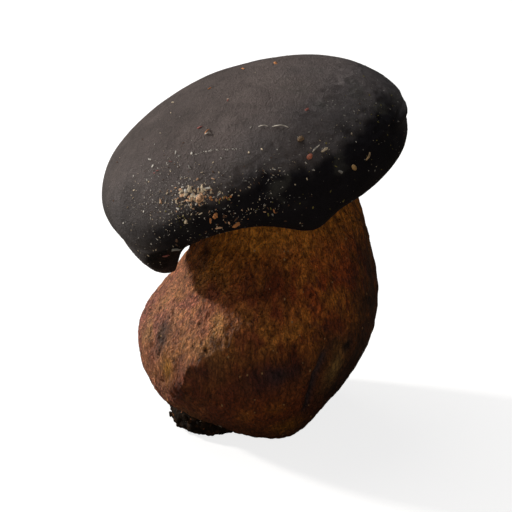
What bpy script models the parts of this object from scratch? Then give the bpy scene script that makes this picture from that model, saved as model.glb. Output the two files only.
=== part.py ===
"""Bolete mushroom: a dark, domed, tilted cap on a stout pear shaped stem.

Metres, Z up. The origin is the middle of the flat on which the stem rests.
Angles round the mushroom run from the right hand side, through the back,
and a quarter turn short of a full turn faces the front.
"""
import bpy
import bmesh
import math
import random
from mathutils import Matrix, Vector

# Cap: a half ellipsoid above its widest ring, with an inrolled skirt below.
CAP_CENTRE = Vector((-0.0012, 0.0069, 0.0903))
CAP_TILT_LEFT = math.radians(25.6)
CAP_TILT_FRONT = math.radians(2.4)
CAP_RADIUS = 0.0512
CAP_OVAL = 0.04
CAP_OVAL_ANGLE = 27.0
CAP_CROWN_HEIGHT = 0.0315
CAP_CROWN_SHIFT = -0.0096
SKIRT_DEPTH = 0.0144
SKIRT_EXTRA_LEFT = 0.0088
INROLL = 0.0074
INROLL_EXTRA_LEFT = 0.0014
ARCH_HEIGHT = 0.0151
ARCH_ANGLE = 246.5
ARCH_WIDTH = 35.3
ARCH_SHOULDER_HEIGHT = 0.0015
ARCH_SHOULDER_ANGLE = 227.0
ARCH_SHOULDER_WIDTH = 9.0
LOBE_DEPTH = 0.0040
LOBE_ANGLE = 286.4
LOBE_WIDTH = 10.2
BACK_LIFT = 0.0140
BACK_LIFT_ANGLES = (95.0, 150.0, 185.0, 212.0)
RIM_THICKNESS = 0.0035
MARGIN_WALL = 0.0105

# Tube layer: the ring of tubes on the underside of the cap.
TUBE_INNER_RADIUS = 0.0255
TUBE_FACE_AT_STEM = -0.0070
TUBE_FACE_AT_MARGIN = -0.0055
TUBE_LENGTH_AT_STEM = 0.0030
TUBE_LENGTH_AT_MARGIN = 0.0025
TUBE_LENGTH_MIDDLE = 0.0060
TUBE_FACE_SWELL = 0.0025

# Stem: round sections carried along a leaning centre line.
# Each station is centre x, centre y, height, radius, share of the cap's tilt.
FOOT_RADIUS = 0.0200
FOOT_NOTCH = 0.24
FOOT_NOTCH_ANGLE = 226.0
FOOT_NOTCH_WIDTH = 32.0
STEM_STATIONS = (
    (0.0000, 0.0000, 0.0000, FOOT_RADIUS, 0.0),
    (-0.0056, 0.0020, 0.0062, 0.0294, 0.0),
    (-0.0044, 0.0006, 0.0206, 0.0366, 0.0),
    (-0.0005, 0.0016, 0.0377, 0.0397, 0.1),
    (0.0030, 0.0036, 0.0562, 0.0340, 0.45),
)
STEM_NECK_DEPTH = 0.0120
STEM_NECK_RADIUS = 0.0259
STEM_TOP_DEPTH = 0.0043
STEM_TOP_RADIUS = 0.0242
STEM_LEAN_SHEAR = -0.04
KEEL_HEIGHT = 0.0016
KEEL_WIDTH = 13.0

# Soil held under the left of the stem base.
CLOD_CENTRE = Vector((-0.0190, -0.0090, 0.0045))
CLOD_SIZE = Vector((0.0140, 0.0125, 0.0080))
CLOD_ROUGHNESS = 0.10

# Fitting gap between pieces that touch.
GAP = 0.0003

# Mesh resolution.
CAP_SEGMENTS = 72
CROWN_RINGS = 14
SKIRT_RINGS = 5
STEM_SEGMENTS = 60
STEM_RINGS = 26


def bump(angle, centre, width):
    """A smooth hill of height one at centre, measured round the circle."""
    gap = (angle - centre + 180.0) % 360.0 - 180.0
    return math.exp(-((gap / width) ** 2))


def ease(value, start, end):
    """Rises smoothly from 0 at start to 1 at end."""
    share = min(max((value - start) / (end - start), 0.0), 1.0)
    return share * share * (3.0 - 2.0 * share)


def soft_floor(value, floor, softness):
    """The larger of value and floor, with the corner rounded."""
    return floor + softness * math.log1p(math.exp((value - floor) / softness))


def tilted_axes(share):
    """Right, back and up directions of a plane with a share of the cap's tilt."""
    left = math.tan(CAP_TILT_LEFT * share)
    front = math.tan(CAP_TILT_FRONT * share)
    up = Vector((-left, -front, 1.0)).normalized()
    right = (Vector((1.0, 0.0, 0.0)) - up * up.x).normalized()
    return right, up.cross(right), up


CAP_RIGHT, CAP_BACK, CAP_UP = tilted_axes(1.0)


def cap_edge(angle):
    """Radius and height of the widest ring, then of the lip, at an angle."""
    turn = math.radians(2.0 * (angle - CAP_OVAL_ANGLE))
    wide = CAP_RADIUS * (1.0 + CAP_OVAL * math.cos(turn))
    left = bump(angle, 180.0, 60.0)
    lip_z = -(SKIRT_DEPTH + SKIRT_EXTRA_LEFT * left)
    lip_z += ARCH_HEIGHT * bump(angle, ARCH_ANGLE, ARCH_WIDTH)
    lip_z += ARCH_SHOULDER_HEIGHT * bump(angle, ARCH_SHOULDER_ANGLE, ARCH_SHOULDER_WIDTH)
    start, full, falling, end = BACK_LIFT_ANGLES
    lip_z += BACK_LIFT * ease(angle, start, full) * (1.0 - ease(angle, falling, end))
    lip_z -= LOBE_DEPTH * bump(angle, LOBE_ANGLE, LOBE_WIDTH)
    lip_r = wide - (INROLL + INROLL_EXTRA_LEFT * left)
    wide_z = soft_floor(lip_z + RIM_THICKNESS, 0.0, 0.0015)
    return wide, wide_z, lip_r, lip_z


def in_cap(radius, angle, height):
    """A point from radius, angle and height measured in the tilted cap."""
    turn = math.radians(angle)
    point = CAP_CENTRE + CAP_RIGHT * (radius * math.cos(turn))
    point += CAP_BACK * (radius * math.sin(turn))
    return point + CAP_UP * height


def cap_skin(angle, travel):
    """Outside of the cap: travel 0 is the crown, 1 the widest ring, 2 the lip."""
    wide, wide_z, lip_r, lip_z = cap_edge(angle)
    if travel <= 1.0:
        part = 0.5 * math.pi * travel
        radius = wide * math.sin(part)
        height = wide_z + (CAP_CROWN_HEIGHT - wide_z) * math.cos(part)
    else:
        part = 0.5 * math.pi * (travel - 1.0)
        radius = lip_r + (wide - lip_r) * math.cos(part)
        height = wide_z + (lip_z - wide_z) * math.sin(part)
    share = min(max(height / CAP_CROWN_HEIGHT, 0.0), 1.0)
    return in_cap(radius, angle, height) + CAP_RIGHT * (CAP_CROWN_SHIFT * share)


def tube_section(angle, share):
    """Radius, face height and tube length from the stem (0) to the margin (1)."""
    wide, wide_z, lip_r, lip_z = cap_edge(angle)
    outer = wide - MARGIN_WALL
    radius = TUBE_INNER_RADIUS + (outer - TUBE_INNER_RADIUS) * share
    at_margin = soft_floor(lip_z + 0.0025, TUBE_FACE_AT_MARGIN, 0.0015)
    hump = math.sin(math.pi * share)
    swell = TUBE_FACE_SWELL * (1.0 - 0.6 * bump(angle, ARCH_ANGLE, ARCH_WIDTH))
    face = (1.0 - share) * TUBE_FACE_AT_STEM + share * at_margin - swell * hump
    length = (1.0 - share) * TUBE_LENGTH_AT_STEM + share * TUBE_LENGTH_AT_MARGIN
    return radius, face, length + TUBE_LENGTH_MIDDLE * hump


def stem_stations():
    """Stations of the stem from foot to top, the last two on the cap's axis."""
    rows = [list(row) for row in STEM_STATIONS]
    neck = CAP_CENTRE - CAP_UP * STEM_NECK_DEPTH
    top = CAP_CENTRE - CAP_UP * STEM_TOP_DEPTH
    rows.append([neck.x, neck.y, neck.z, STEM_NECK_RADIUS, 1.0])
    rows.append([top.x, top.y, top.z, STEM_TOP_RADIUS, 1.0])
    return rows


def smooth_row(rows, travel):
    """Catmull-Rom value of every column between the rows, travel from 0 to 1."""
    ends = [[2 * a - b for a, b in zip(rows[0], rows[1])]]
    ends += rows
    ends.append([2 * a - b for a, b in zip(rows[-1], rows[-2])])
    spans = len(rows) - 1
    place = min(max(travel, 0.0), 1.0) * spans
    first = min(int(place), spans - 1)
    u = place - first
    value = []
    for a, b, c, d in zip(*ends[first:first + 4]):
        bend = (2 * a - 5 * b + 4 * c - d) * u + (3 * b - a - 3 * c + d) * u * u
        value.append(b + 0.5 * u * ((c - a) + bend))
    return value


def keel(angle, height):
    """Height of the rounded ridge that runs down the front left of the stem."""
    share = min(max(height / 0.050, 0.0), 1.0)
    centre = 222.0 + 32.0 * share
    fade = math.exp(-(((height - 0.031) / 0.020) ** 2))
    hill = bump(angle, centre, KEEL_WIDTH)
    hollow = 0.6 * bump(angle, centre + 24.0, 16.0)
    return KEEL_HEIGHT * fade * (hill - hollow)


def stem_skin(angle, travel):
    """Outside of the stem: travel 0 is the edge of the foot, 1 the top edge."""
    x, y, z, radius, share = smooth_row(stem_stations(), travel)
    swell = math.sin(math.pi * min(max(z / 0.090, 0.0), 1.0))
    turn = math.radians(angle)
    lumps = 0.02 * math.cos(turn - math.radians(246.0)) + 0.02 * math.cos(2 * turn)
    notch = FOOT_NOTCH * bump(angle, FOOT_NOTCH_ANGLE, FOOT_NOTCH_WIDTH)
    notch *= max(1.0 - z / 0.0100, 0.0)
    reach = radius * (1.0 + swell * lumps - notch) + keel(angle, z)
    right, back, up = tilted_axes(min(max(share, 0.0), 1.0))
    offset = right * (reach * math.cos(turn)) + back * (reach * math.sin(turn))
    low = min(max(z / 0.0062, 0.0), 1.0) * min(max((0.0206 - z) / 0.0144, 0.0), 1.0)
    shear = STEM_LEAN_SHEAR * (low + math.exp(-(((z - 0.0206) / 0.012) ** 2)))
    point = Vector((x, y, z)) + offset
    point.z = max(point.z + shear * offset.x, 0.0)
    return point


def material(name, colour, roughness):
    """A plain material with the given base colour and roughness."""
    made = bpy.data.materials.new(name)
    made.use_nodes = True
    shader = made.node_tree.nodes["Principled BSDF"]
    shader.inputs["Base Color"].default_value = (*colour, 1.0)
    shader.inputs["Roughness"].default_value = roughness
    made.diffuse_color = (*colour, 1.0)
    return made


def finish(mesh, name, slot):
    """Turn a bmesh into a smooth shaded object with its normals facing out."""
    bmesh.ops.remove_doubles(mesh, verts=mesh.verts, dist=0.000001)
    bmesh.ops.recalc_face_normals(mesh, faces=mesh.faces)
    data = bpy.data.meshes.new(name)
    mesh.to_mesh(data)
    mesh.free()
    for face in data.polygons:
        face.use_smooth = True
    made = bpy.data.objects.new(name, data)
    bpy.context.collection.objects.link(made)
    if slot is not None:
        data.materials.append(slot)
    return made


def skin_rings(mesh, rings, loop=False):
    """Join neighbouring rings of vertices with quads."""
    pairs = list(zip(rings, rings[1:]))
    if loop:
        pairs.append((rings[-1], rings[0]))
    for lower, upper in pairs:
        for i in range(len(lower)):
            j = (i + 1) % len(lower)
            mesh.faces.new((lower[i], lower[j], upper[j], upper[i]))


def fan(mesh, ring, centre):
    """Close a ring of vertices with triangles to one middle vertex."""
    for i in range(len(ring)):
        mesh.faces.new((ring[i], ring[(i + 1) % len(ring)], centre))


def angles(count):
    """Evenly spaced angles in degrees."""
    return [360.0 * i / count for i in range(count)]


def make_cap():
    """The cap: crown, skirt, rolled lip, inner wall and ceiling over the tubes."""
    mesh = bmesh.new()
    turns = angles(CAP_SEGMENTS)
    rings = []
    for k in range(1, CROWN_RINGS + 1):
        travel = k / CROWN_RINGS
        rings.append([mesh.verts.new(cap_skin(a, travel)) for a in turns])
    for k in range(1, SKIRT_RINGS + 1):
        travel = 1.0 + k / SKIRT_RINGS
        rings.append([mesh.verts.new(cap_skin(a, travel)) for a in turns])
    for inward, up in ((0.0014, 0.0004), (0.0027, 0.0017)):
        ring = []
        for a in turns:
            wide, wide_z, lip_r, lip_z = cap_edge(a)
            radius = max(lip_r - inward, wide - MARGIN_WALL)
            ring.append(mesh.verts.new(in_cap(radius, a, lip_z + up)))
        rings.append(ring)
    for share in (1.0, 0.8, 0.6, 0.4, 0.2, 0.0):
        ring = []
        for a in turns:
            radius, face, length = tube_section(a, share)
            ring.append(mesh.verts.new(in_cap(radius, a, face + length)))
        rings.append(ring)
    ceiling = TUBE_FACE_AT_STEM + TUBE_LENGTH_AT_STEM
    rings.append([mesh.verts.new(in_cap(0.012, a, ceiling)) for a in turns])
    skin_rings(mesh, rings)
    fan(mesh, rings[0], mesh.verts.new(cap_skin(0.0, 0.0)))
    fan(mesh, rings[-1], mesh.verts.new(in_cap(0.0, 0.0, ceiling)))
    return finish(mesh, "cap", material("cap_skin", (0.020, 0.016, 0.015), 0.62))


def make_tube_layer(cutter):
    """The tubes: a swollen ring between stem and margin, open for the stem."""
    mesh = bmesh.new()
    turns = angles(CAP_SEGMENTS)
    rings = []
    shares = (0.0, 0.2, 0.4, 0.6, 0.8, 1.0)
    inside = TUBE_INNER_RADIUS - 0.0050
    low = TUBE_FACE_AT_STEM
    high = TUBE_FACE_AT_STEM + TUBE_LENGTH_AT_STEM - GAP
    rings.append([mesh.verts.new(in_cap(inside, a, low)) for a in turns])
    for share in shares:
        trim = GAP if share == 1.0 else 0.0
        ring = []
        for a in turns:
            radius, face, length = tube_section(a, share)
            ring.append(mesh.verts.new(in_cap(radius - trim, a, face)))
        rings.append(ring)
    for share in reversed(shares):
        trim = GAP if share == 1.0 else 0.0
        ring = []
        for a in turns:
            radius, face, length = tube_section(a, share)
            ring.append(mesh.verts.new(in_cap(radius - trim, a, face + length - GAP)))
        rings.append(ring)
    rings.append([mesh.verts.new(in_cap(inside, a, high)) for a in turns])
    skin_rings(mesh, rings, loop=True)
    made = finish(mesh, "pore_layer", material("pore_tubes", (0.235, 0.105, 0.022), 0.70))
    cut(made, cutter)
    return made


def make_stem(name, slot, grow):
    """The stem with a flat foot and a flat tilted top, grown outward by grow."""
    mesh = bmesh.new()
    turns = angles(STEM_SEGMENTS)
    rings = []
    for k in range(STEM_RINGS + 1):
        travel = k / STEM_RINGS
        rings.append([mesh.verts.new(stem_skin(a, travel)) for a in turns])
    skin_rings(mesh, rings)
    top = CAP_CENTRE - CAP_UP * STEM_TOP_DEPTH
    fan(mesh, rings[0], mesh.verts.new((0.0, 0.0, 0.0)))
    fan(mesh, rings[-1], mesh.verts.new(top))
    if grow > 0.0:
        bmesh.ops.recalc_face_normals(mesh, faces=mesh.faces)
        mesh.normal_update()
        moves = [(vert, vert.normal * grow) for vert in mesh.verts]
        for vert, move in moves:
            vert.co += move
    return finish(mesh, name, slot)


def cut(body, cutter):
    """Subtract the cutter from the body and apply the result."""
    step = body.modifiers.new("cut", "BOOLEAN")
    step.operation = "DIFFERENCE"
    step.solver = "EXACT"
    step.object = cutter
    bpy.context.view_layer.update()
    graph = bpy.context.evaluated_depsgraph_get()
    made = bmesh.new()
    made.from_mesh(body.evaluated_get(graph).data)
    bmesh.ops.triangulate(made, faces=made.faces)
    bmesh.ops.dissolve_degenerate(made, edges=made.edges, dist=0.00002)
    made.to_mesh(body.data)
    made.free()
    body.modifiers.remove(step)


def make_clod(cutter):
    """A lump of soil with a flat underside, hollowed to sit against the stem."""
    mesh = bmesh.new()
    rnd = random.Random(7)
    waves = []
    for k in range(10):
        way = Vector([rnd.uniform(-1.0, 1.0) for axis in range(3)]).normalized()
        waves.append((way, rnd.uniform(2.0, 7.0), rnd.uniform(0.0, 6.28)))
    turns = angles(36)
    rings = []
    for k in range(1, 16):
        lean = math.pi * k / 16
        ring = []
        for a in turns:
            turn = math.radians(a)
            flat = math.sin(lean)
            way = Vector((flat * math.cos(turn), flat * math.sin(turn), math.cos(lean)))
            rough = sum(math.sin(rate * way.dot(d) + shift) for d, rate, shift in waves)
            reach = way * (1.0 + CLOD_ROUGHNESS * 0.4 * rough)
            point = CLOD_CENTRE + Vector([reach[i] * CLOD_SIZE[i] for i in range(3)])
            point.z = max(point.z, 0.0)
            ring.append(mesh.verts.new(point))
        rings.append(ring)
    skin_rings(mesh, rings)
    high = CLOD_CENTRE + Vector((0.0, 0.0, CLOD_SIZE.z))
    fan(mesh, rings[0], mesh.verts.new(high))
    fan(mesh, rings[-1], mesh.verts.new((CLOD_CENTRE.x, CLOD_CENTRE.y, 0.0)))
    made = finish(mesh, "soil_clod", material("dark_soil", (0.020, 0.012, 0.006), 0.95))
    cut(made, cutter)
    return made


def seat(angle, travel, spin):
    """Matrix of a spot on the cap: Z points away from the skin, X is spun."""
    middle = cap_skin(angle, travel)
    down = (cap_skin(angle, travel + 0.01) - middle).normalized()
    side = (cap_skin(angle + 1.0, travel) - middle).normalized()
    out = down.cross(side).normalized()
    side = out.cross(down)
    frame = Matrix((down, side, out)).transposed().to_4x4()
    return Matrix.Translation(middle) @ frame @ Matrix.Rotation(math.radians(spin), 4, "Z")


def lie_on_cap(mesh, place, gap):
    """Lower a small shape to the gap above its spot on the cap."""
    low = min(vert.co.z for vert in mesh.verts)
    for vert in mesh.verts:
        vert.co.z += gap - low
    bmesh.ops.transform(mesh, matrix=place, verts=mesh.verts)


def make_crumb(name, slot, place, size, seed):
    """An angular crumb: a rounded stone shape pushed in and out at its corners."""
    mesh = bmesh.new()
    bmesh.ops.create_icosphere(mesh, subdivisions=2, radius=0.5)
    rnd = random.Random(seed)
    for vert in mesh.verts:
        vert.co *= rnd.uniform(0.82, 1.12)
        vert.co = Vector([vert.co[i] * size[i] for i in range(3)])
    lie_on_cap(mesh, place, GAP)
    return finish(mesh, name, slot)


def make_strand(name, slot, place, size, bend):
    """A long flat bit with pointed ends that bows up slightly in the middle."""
    mesh = bmesh.new()
    rings = []
    for k in range(7):
        along = k / 6.0 - 0.5
        taper = 0.35 + 0.65 * math.cos(math.pi * along)
        ring = []
        for a in angles(6):
            turn = math.radians(a)
            x = size[0] * along
            y = 0.5 * size[1] * taper * math.cos(turn) + bend * (0.25 - along * along)
            z = 0.5 * size[2] * taper * math.sin(turn)
            z += 0.0004 * (0.25 - along * along)
            ring.append(mesh.verts.new((x, y, z)))
        rings.append(ring)
    skin_rings(mesh, rings)
    mesh.faces.new(rings[0])
    mesh.faces.new(rings[-1])
    lie_on_cap(mesh, place, GAP + size[0] ** 2 / (8.0 * CAP_CROWN_HEIGHT))
    return finish(mesh, name, slot)


def main():
    """Build every piece of the mushroom in its own place."""
    for old in list(bpy.data.objects):
        bpy.data.objects.remove(old, do_unlink=True)
    stem_coat = material("stem_skin", (0.150, 0.055, 0.022), 0.72)
    make_stem("stem", stem_coat, 0.0)
    cutter = make_stem("stem_cutter", None, 0.00035)
    cutter.hide_render = True
    cutter.display_type = "WIRE"
    make_cap()
    make_tube_layer(cutter)
    make_clod(cutter)
    tan = material("tan_crumb", (0.420, 0.230, 0.110), 0.85)
    straw = material("dry_straw", (0.560, 0.420, 0.230), 0.70)
    seed = material("seed_husk", (0.400, 0.190, 0.130), 0.55)
    brown = material("brown_crumb", (0.110, 0.055, 0.030), 0.90)
    make_crumb("tan_crumb_large", tan, seat(258.0, 0.775, 25.0), (0.0032, 0.0024, 0.0018), 3)
    make_crumb("tan_crumb_small", tan, seat(256.0, 0.705, 70.0), (0.0022, 0.0017, 0.0014), 5)
    make_crumb("tan_crumb_low", tan, seat(259.0, 0.905, 10.0), (0.0024, 0.0018, 0.0014), 8)
    make_crumb("brown_crumb", brown, seat(303.0, 0.730, 40.0), (0.0026, 0.0019, 0.0015), 11)
    make_crumb("seed_left", seed, seat(299.5, 0.835, 60.0), (0.0028, 0.0015, 0.0014), 13)
    make_crumb("seed_right", seed, seat(309.5, 1.085, 20.0), (0.0026, 0.0015, 0.0014), 17)
    make_strand("needle_upper", straw, seat(302.5, 0.615, 96.0), (0.0046, 0.0007, 0.0006), 0.0008)
    make_strand("needle_lower", straw, seat(304.0, 0.825, 70.0), (0.0040, 0.0007, 0.0006), -0.0006)
    make_strand("straw_flake", straw, seat(317.5, 1.095, 110.0), (0.0042, 0.0012, 0.0006), 0.0004)


main()
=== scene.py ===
# %% [markdown]
# # A bolete mushroom, from a plain frame to a finished piece
# A bolete is a mushroom with a sponge of tubes under its cap where others have gills. This one is
# young and stout: a dry, nearly black cap, a pear-shaped stem in ochre and red-brown, and forest
# crumbs stuck all over it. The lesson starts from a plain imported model, which is only the right size
# and shape, and replaces each of its solids with a finely worked skin.

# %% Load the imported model
import math
import bpy
import numpy as np
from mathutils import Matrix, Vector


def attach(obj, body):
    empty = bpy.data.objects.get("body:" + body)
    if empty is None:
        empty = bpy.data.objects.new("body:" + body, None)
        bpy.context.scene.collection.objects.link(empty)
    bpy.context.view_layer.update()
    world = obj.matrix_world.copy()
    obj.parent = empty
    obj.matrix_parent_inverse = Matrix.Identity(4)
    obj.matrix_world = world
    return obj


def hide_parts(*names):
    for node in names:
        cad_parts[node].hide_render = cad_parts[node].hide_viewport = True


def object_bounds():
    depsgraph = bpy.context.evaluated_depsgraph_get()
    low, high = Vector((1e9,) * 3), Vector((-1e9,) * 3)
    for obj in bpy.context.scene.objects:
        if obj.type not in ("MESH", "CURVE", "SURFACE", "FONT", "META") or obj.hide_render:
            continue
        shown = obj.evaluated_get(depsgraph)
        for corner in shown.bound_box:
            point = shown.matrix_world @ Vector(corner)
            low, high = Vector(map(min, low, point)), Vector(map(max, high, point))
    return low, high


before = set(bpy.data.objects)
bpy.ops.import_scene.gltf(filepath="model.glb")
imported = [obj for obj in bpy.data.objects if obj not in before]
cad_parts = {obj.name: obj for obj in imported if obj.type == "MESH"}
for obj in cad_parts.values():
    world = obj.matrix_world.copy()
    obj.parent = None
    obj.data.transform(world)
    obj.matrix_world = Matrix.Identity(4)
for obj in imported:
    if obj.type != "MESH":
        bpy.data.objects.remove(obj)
cad_box = [list(corner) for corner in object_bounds()]
box_low, box_high = np.array(cad_box)
print("frame holds", len(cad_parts), "solids,", np.round(box_high - box_low, 4), "m overall")

# %% [markdown]
# ## Camera
# The mushroom is looked at from a little above, as one looks at something on a table. A long lens at
# under half a metre keeps the cap from swelling towards the viewer. The camera aims at the middle of
# the model's box, moved slightly down and forward, so that the picture has even margins.

# %% Place the camera
def put(name, data):
    """A new object in the scene for a mesh, a lamp or a camera."""
    made = bpy.data.objects.new(name, data)
    bpy.context.collection.objects.link(made)
    return made


CAMERA_ELEVATION = math.radians(22.0)
CAMERA_DISTANCE = 0.450
CAMERA_LENS = 92.8
AIM_SHIFT = np.array((0.0006, -0.0069, -0.0032))
aim = (box_low + box_high) / 2 + AIM_SHIFT
back = np.array((0.0, -math.cos(CAMERA_ELEVATION), math.sin(CAMERA_ELEVATION)))
camera = put("camera", bpy.data.cameras.new("camera"))
camera.data.lens = CAMERA_LENS
camera.data.clip_start = 0.01
camera.location = aim + back * CAMERA_DISTANCE
camera.rotation_euler = (math.pi / 2 - CAMERA_ELEVATION, 0.0, 0.0)
bpy.context.scene.camera = camera
bpy.context.scene.view_settings.view_transform = "Standard"
print("camera aims at", np.round(aim, 4))

# %% [markdown]
# ## Light
# The key lamp is small and stands low, behind and to the left: it rakes over the stem's left flank,
# and the cap's rim throws a crisp shadow down the stem. A wide lamp overhead greys the crown, and a
# weak one in front keeps the shaded side readable. The room itself adds only a little; the camera sees
# it as pale as the floor, so that a low view has no dark horizon.

# %% Place the lamps
def lamp(name, place, size, watts, colour):
    """A square lamp at a place, facing the middle of the mushroom."""
    data = bpy.data.lights.new(name, "AREA")
    data.size = size
    data.energy = watts
    data.color = colour
    made = put(name, data)
    made.location = place
    toward = np.array(aim) - np.array(place)
    turn = math.atan2(toward[1], toward[0])
    drop = math.atan2(math.hypot(toward[0], toward[1]), -toward[2])
    made.rotation_euler = (drop, 0.0, turn - math.pi / 2)


KEY_AZIMUTH, KEY_ELEVATION = math.radians(158.5), math.radians(21.0)
KEY_DISTANCE = 1.3
key_way = np.array((math.cos(KEY_AZIMUTH) * math.cos(KEY_ELEVATION),
                    math.sin(KEY_AZIMUTH) * math.cos(KEY_ELEVATION), math.sin(KEY_ELEVATION)))
LAMPS = (
    # name, place seen from the aim, side in metres, watts, colour
    ("key_lamp", key_way * KEY_DISTANCE, 0.12, 16.5, (1.0, 0.97, 0.92)),
    ("top_lamp", np.array((-0.35, 0.35, 1.1)), 0.9, 5.0, (1.0, 0.97, 0.94)),
    ("front_fill", np.array((-0.05, -1.1, 0.22)), 0.5, 1.95, (1.0, 0.88, 0.76)),
)
for name, way, size, watts, colour in LAMPS:
    lamp(name, aim + way, size, watts, colour)
ROOM_LIGHT, ROOM_SEEN = 0.07, 0.86
world = bpy.data.worlds.new("pale_room")
world.use_nodes = True
room = world.node_tree.nodes["Background"]
room.inputs["Color"].default_value = (0.93, 0.95, 1.0, 1.0)
seen = world.node_tree.nodes.new("ShaderNodeLightPath")
strength = world.node_tree.nodes.new("ShaderNodeMapRange")
strength.inputs["To Min"].default_value = ROOM_LIGHT
strength.inputs["To Max"].default_value = ROOM_SEEN
world.node_tree.links.new(seen.outputs["Is Camera Ray"], strength.inputs["Value"])
world.node_tree.links.new(strength.outputs[0], room.inputs["Strength"])
bpy.context.scene.world = world

# %% [markdown]
# ## Surfaces from numbers
# Everything here grew, so nothing is a box or a tube. Each skin is a grid of points worked out by
# formulas: rows run along the piece and columns run round it. One helper turns such a grid into a
# mesh with four-cornered faces, closes its ends, and makes sure that the faces point outwards.

# %% Helper: a closed skin from a grid of points
def skin(name, rows, first_pole=None, last_pole=None, ring=False):
    """A mesh whose columns wrap round, and whose rows wrap too if it is a ring.
    Cell (i, j) is the quad between rows i and i + 1 and columns j and j + 1. A pole point closes the
    first or last row with triangles. If the signed volume is negative, every face is turned over."""
    count, around = rows.shape[:2]
    i, j = np.meshgrid(np.arange(count if ring else count - 1), np.arange(around), indexing="ij")
    below, beside = (i + 1) % count, (j + 1) % around
    corners = (i * around + j, below * around + j, below * around + beside, i * around + beside)
    quads = np.stack(corners, -1).reshape(-1, 4)
    points = rows.reshape(-1, 3)
    loop = np.arange(around)
    after = (loop + 1) % around
    caps = np.zeros((0, 3), int)
    if first_pole is not None:
        pole = np.full(around, len(points))
        points = np.vstack([points, first_pole])
        caps = np.vstack([caps, np.stack([pole, loop, after], -1)])
    if last_pole is not None:
        pole = np.full(around, len(points))
        points = np.vstack([points, last_pole])
        edge = (count - 1) * around
        caps = np.vstack([caps, np.stack([pole, edge + after, edge + loop], -1)])
    a, b, c, d = (points[quads[:, n]] for n in range(4))
    volume = np.einsum("ij,ij->", np.cross(a, b), c) + np.einsum("ij,ij->", np.cross(a, c), d)
    if volume < 0:
        quads = quads[:, ::-1]
        caps = caps[:, ::-1]
    mesh = bpy.data.meshes.new(name)
    mesh.from_pydata(points, [], quads.tolist() + caps.tolist())
    mesh.shade_smooth()
    made = put(name, mesh)
    print(f"{name}: {len(points)} points, {2 * len(quads) + len(caps)} triangles")
    return made


def outward(rows):
    """Unit normals of a wrapped grid: (step round) x (step along), pointing away from the middle."""
    along = np.gradient(rows, axis=0)
    around = np.roll(rows, -1, axis=1) - np.roll(rows, 1, axis=1)
    normal = np.cross(around, along)
    normal /= np.linalg.norm(normal, axis=-1, keepdims=True) + 1e-12
    middle = rows.mean(axis=(0, 1))
    return normal * np.sign(((rows - middle) * normal).sum(-1).mean())


def paint(piece, name, colours):
    """Stores one colour per point, as an attribute that a material can read."""
    layer = piece.data.color_attributes.new(name, "FLOAT_COLOR", "POINT")
    full = np.ones((len(piece.data.vertices), 4))
    full[:len(colours), :3] = colours
    full[len(colours):, :3] = colours[-1]
    layer.data.foreach_set("color", full.ravel())


def settle(piece, slot, *nodes):
    """Lets a piece ride with the mushroom, in place of CAD nodes; the slot is not used."""
    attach(piece, "root")
    if nodes:
        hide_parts(*nodes)


# %% [markdown]
# ## Noise, hills and cells
# Skin, soil and flesh are irregular in three ways: soft lumps, single marks at known places, and
# cells such as pores or crumbs. The same few functions serve every piece below, on whole arrays of
# points at once. Each use has its own seed, so a second run gives the same mushroom.

# %% Helpers: noise and cells
def lumps(points, size, seed, layers=1):
    """Smooth random value, about -1 to 1, with lumps of the given size.
    Random numbers sit on the corners of a cubic lattice. A point takes the eased blend of its eight
    corners; each further layer has half the size and half the height."""
    table = np.random.default_rng(seed).uniform(-1.0, 1.0, (32, 32, 32))
    total = np.zeros(points.shape[:-1])
    for layer in range(layers):
        place = points * (2.0 ** layer / size) + 7.3 * layer
        cell = np.floor(place).astype(int)
        part = place - cell
        ease = part * part * (3.0 - 2.0 * part)
        for corner in np.ndindex(2, 2, 2):
            at = (cell + corner) % 32
            share = np.prod(np.where(corner, ease, 1.0 - ease), axis=-1)
            total += share * table[at[..., 0], at[..., 1], at[..., 2]] * 0.5 ** layer
    return total


def nearest_cell(points, size, seed):
    """Distance to the nearest of a crowd of scattered seeds, and that seed's own random number.
    Space is cut into cells of the given size with one seed in each; the cells around a point are
    searched. The distance is in units of the size. Points may lie in a plane or in space."""
    axes = points.shape[-1]
    side = 32 if axes == 3 else 128
    rng = np.random.default_rng(seed)
    table = rng.uniform(0.15, 0.85, (side,) * axes + (axes,))
    luck = rng.uniform(0.0, 1.0, (side,) * axes)
    place = points / size
    cell = np.floor(place).astype(int)
    best = np.full(points.shape[:-1], 9.0)
    owner = np.zeros(points.shape[:-1])
    for step in np.ndindex((3,) * axes):
        near = cell + np.array(step) - 1
        at = tuple((near % side)[..., n] for n in range(axes))
        gap = np.linalg.norm(near + table[at] - place, axis=-1)
        owner = np.where(gap < best, luck[at], owner)
        best = np.minimum(best, gap)
    return best, owner


# %% Helpers: balls, hills, steps and blends
def ball_points(columns, leans):
    """Unit ball: a row for each lean from the pole, at (sin l cos t, sin l sin t, cos l)."""
    turn, lean = np.meshgrid(np.arange(columns) * 2.0 * np.pi / columns, leans)
    return np.stack([np.sin(lean) * np.cos(turn), np.sin(lean) * np.sin(turn), np.cos(lean)], -1)


def hill(value, centre, width):
    """Smooth hill of height one: exp(-((value - centre) / width)^2)."""
    return np.exp(-((value - centre) / width) ** 2)


def round_hill(angle, centre, width):
    """The same hill on a circle, with angles in degrees."""
    gap = (angle - centre + 180.0) % 360.0 - 180.0
    return np.exp(-((gap / width) ** 2))


def spot(angle, level, centre, wide, middle, tall):
    """A hill in angle times a hill in travel or height: one mark at a known place."""
    return round_hill(angle, centre, wide) * hill(level, middle, tall)


def step_up(value, start, end):
    """Eases from 0 at start to 1 at end."""
    share = np.clip((value - start) / (end - start), 0.0, 1.0)
    return share * share * (3.0 - 2.0 * share)


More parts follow.
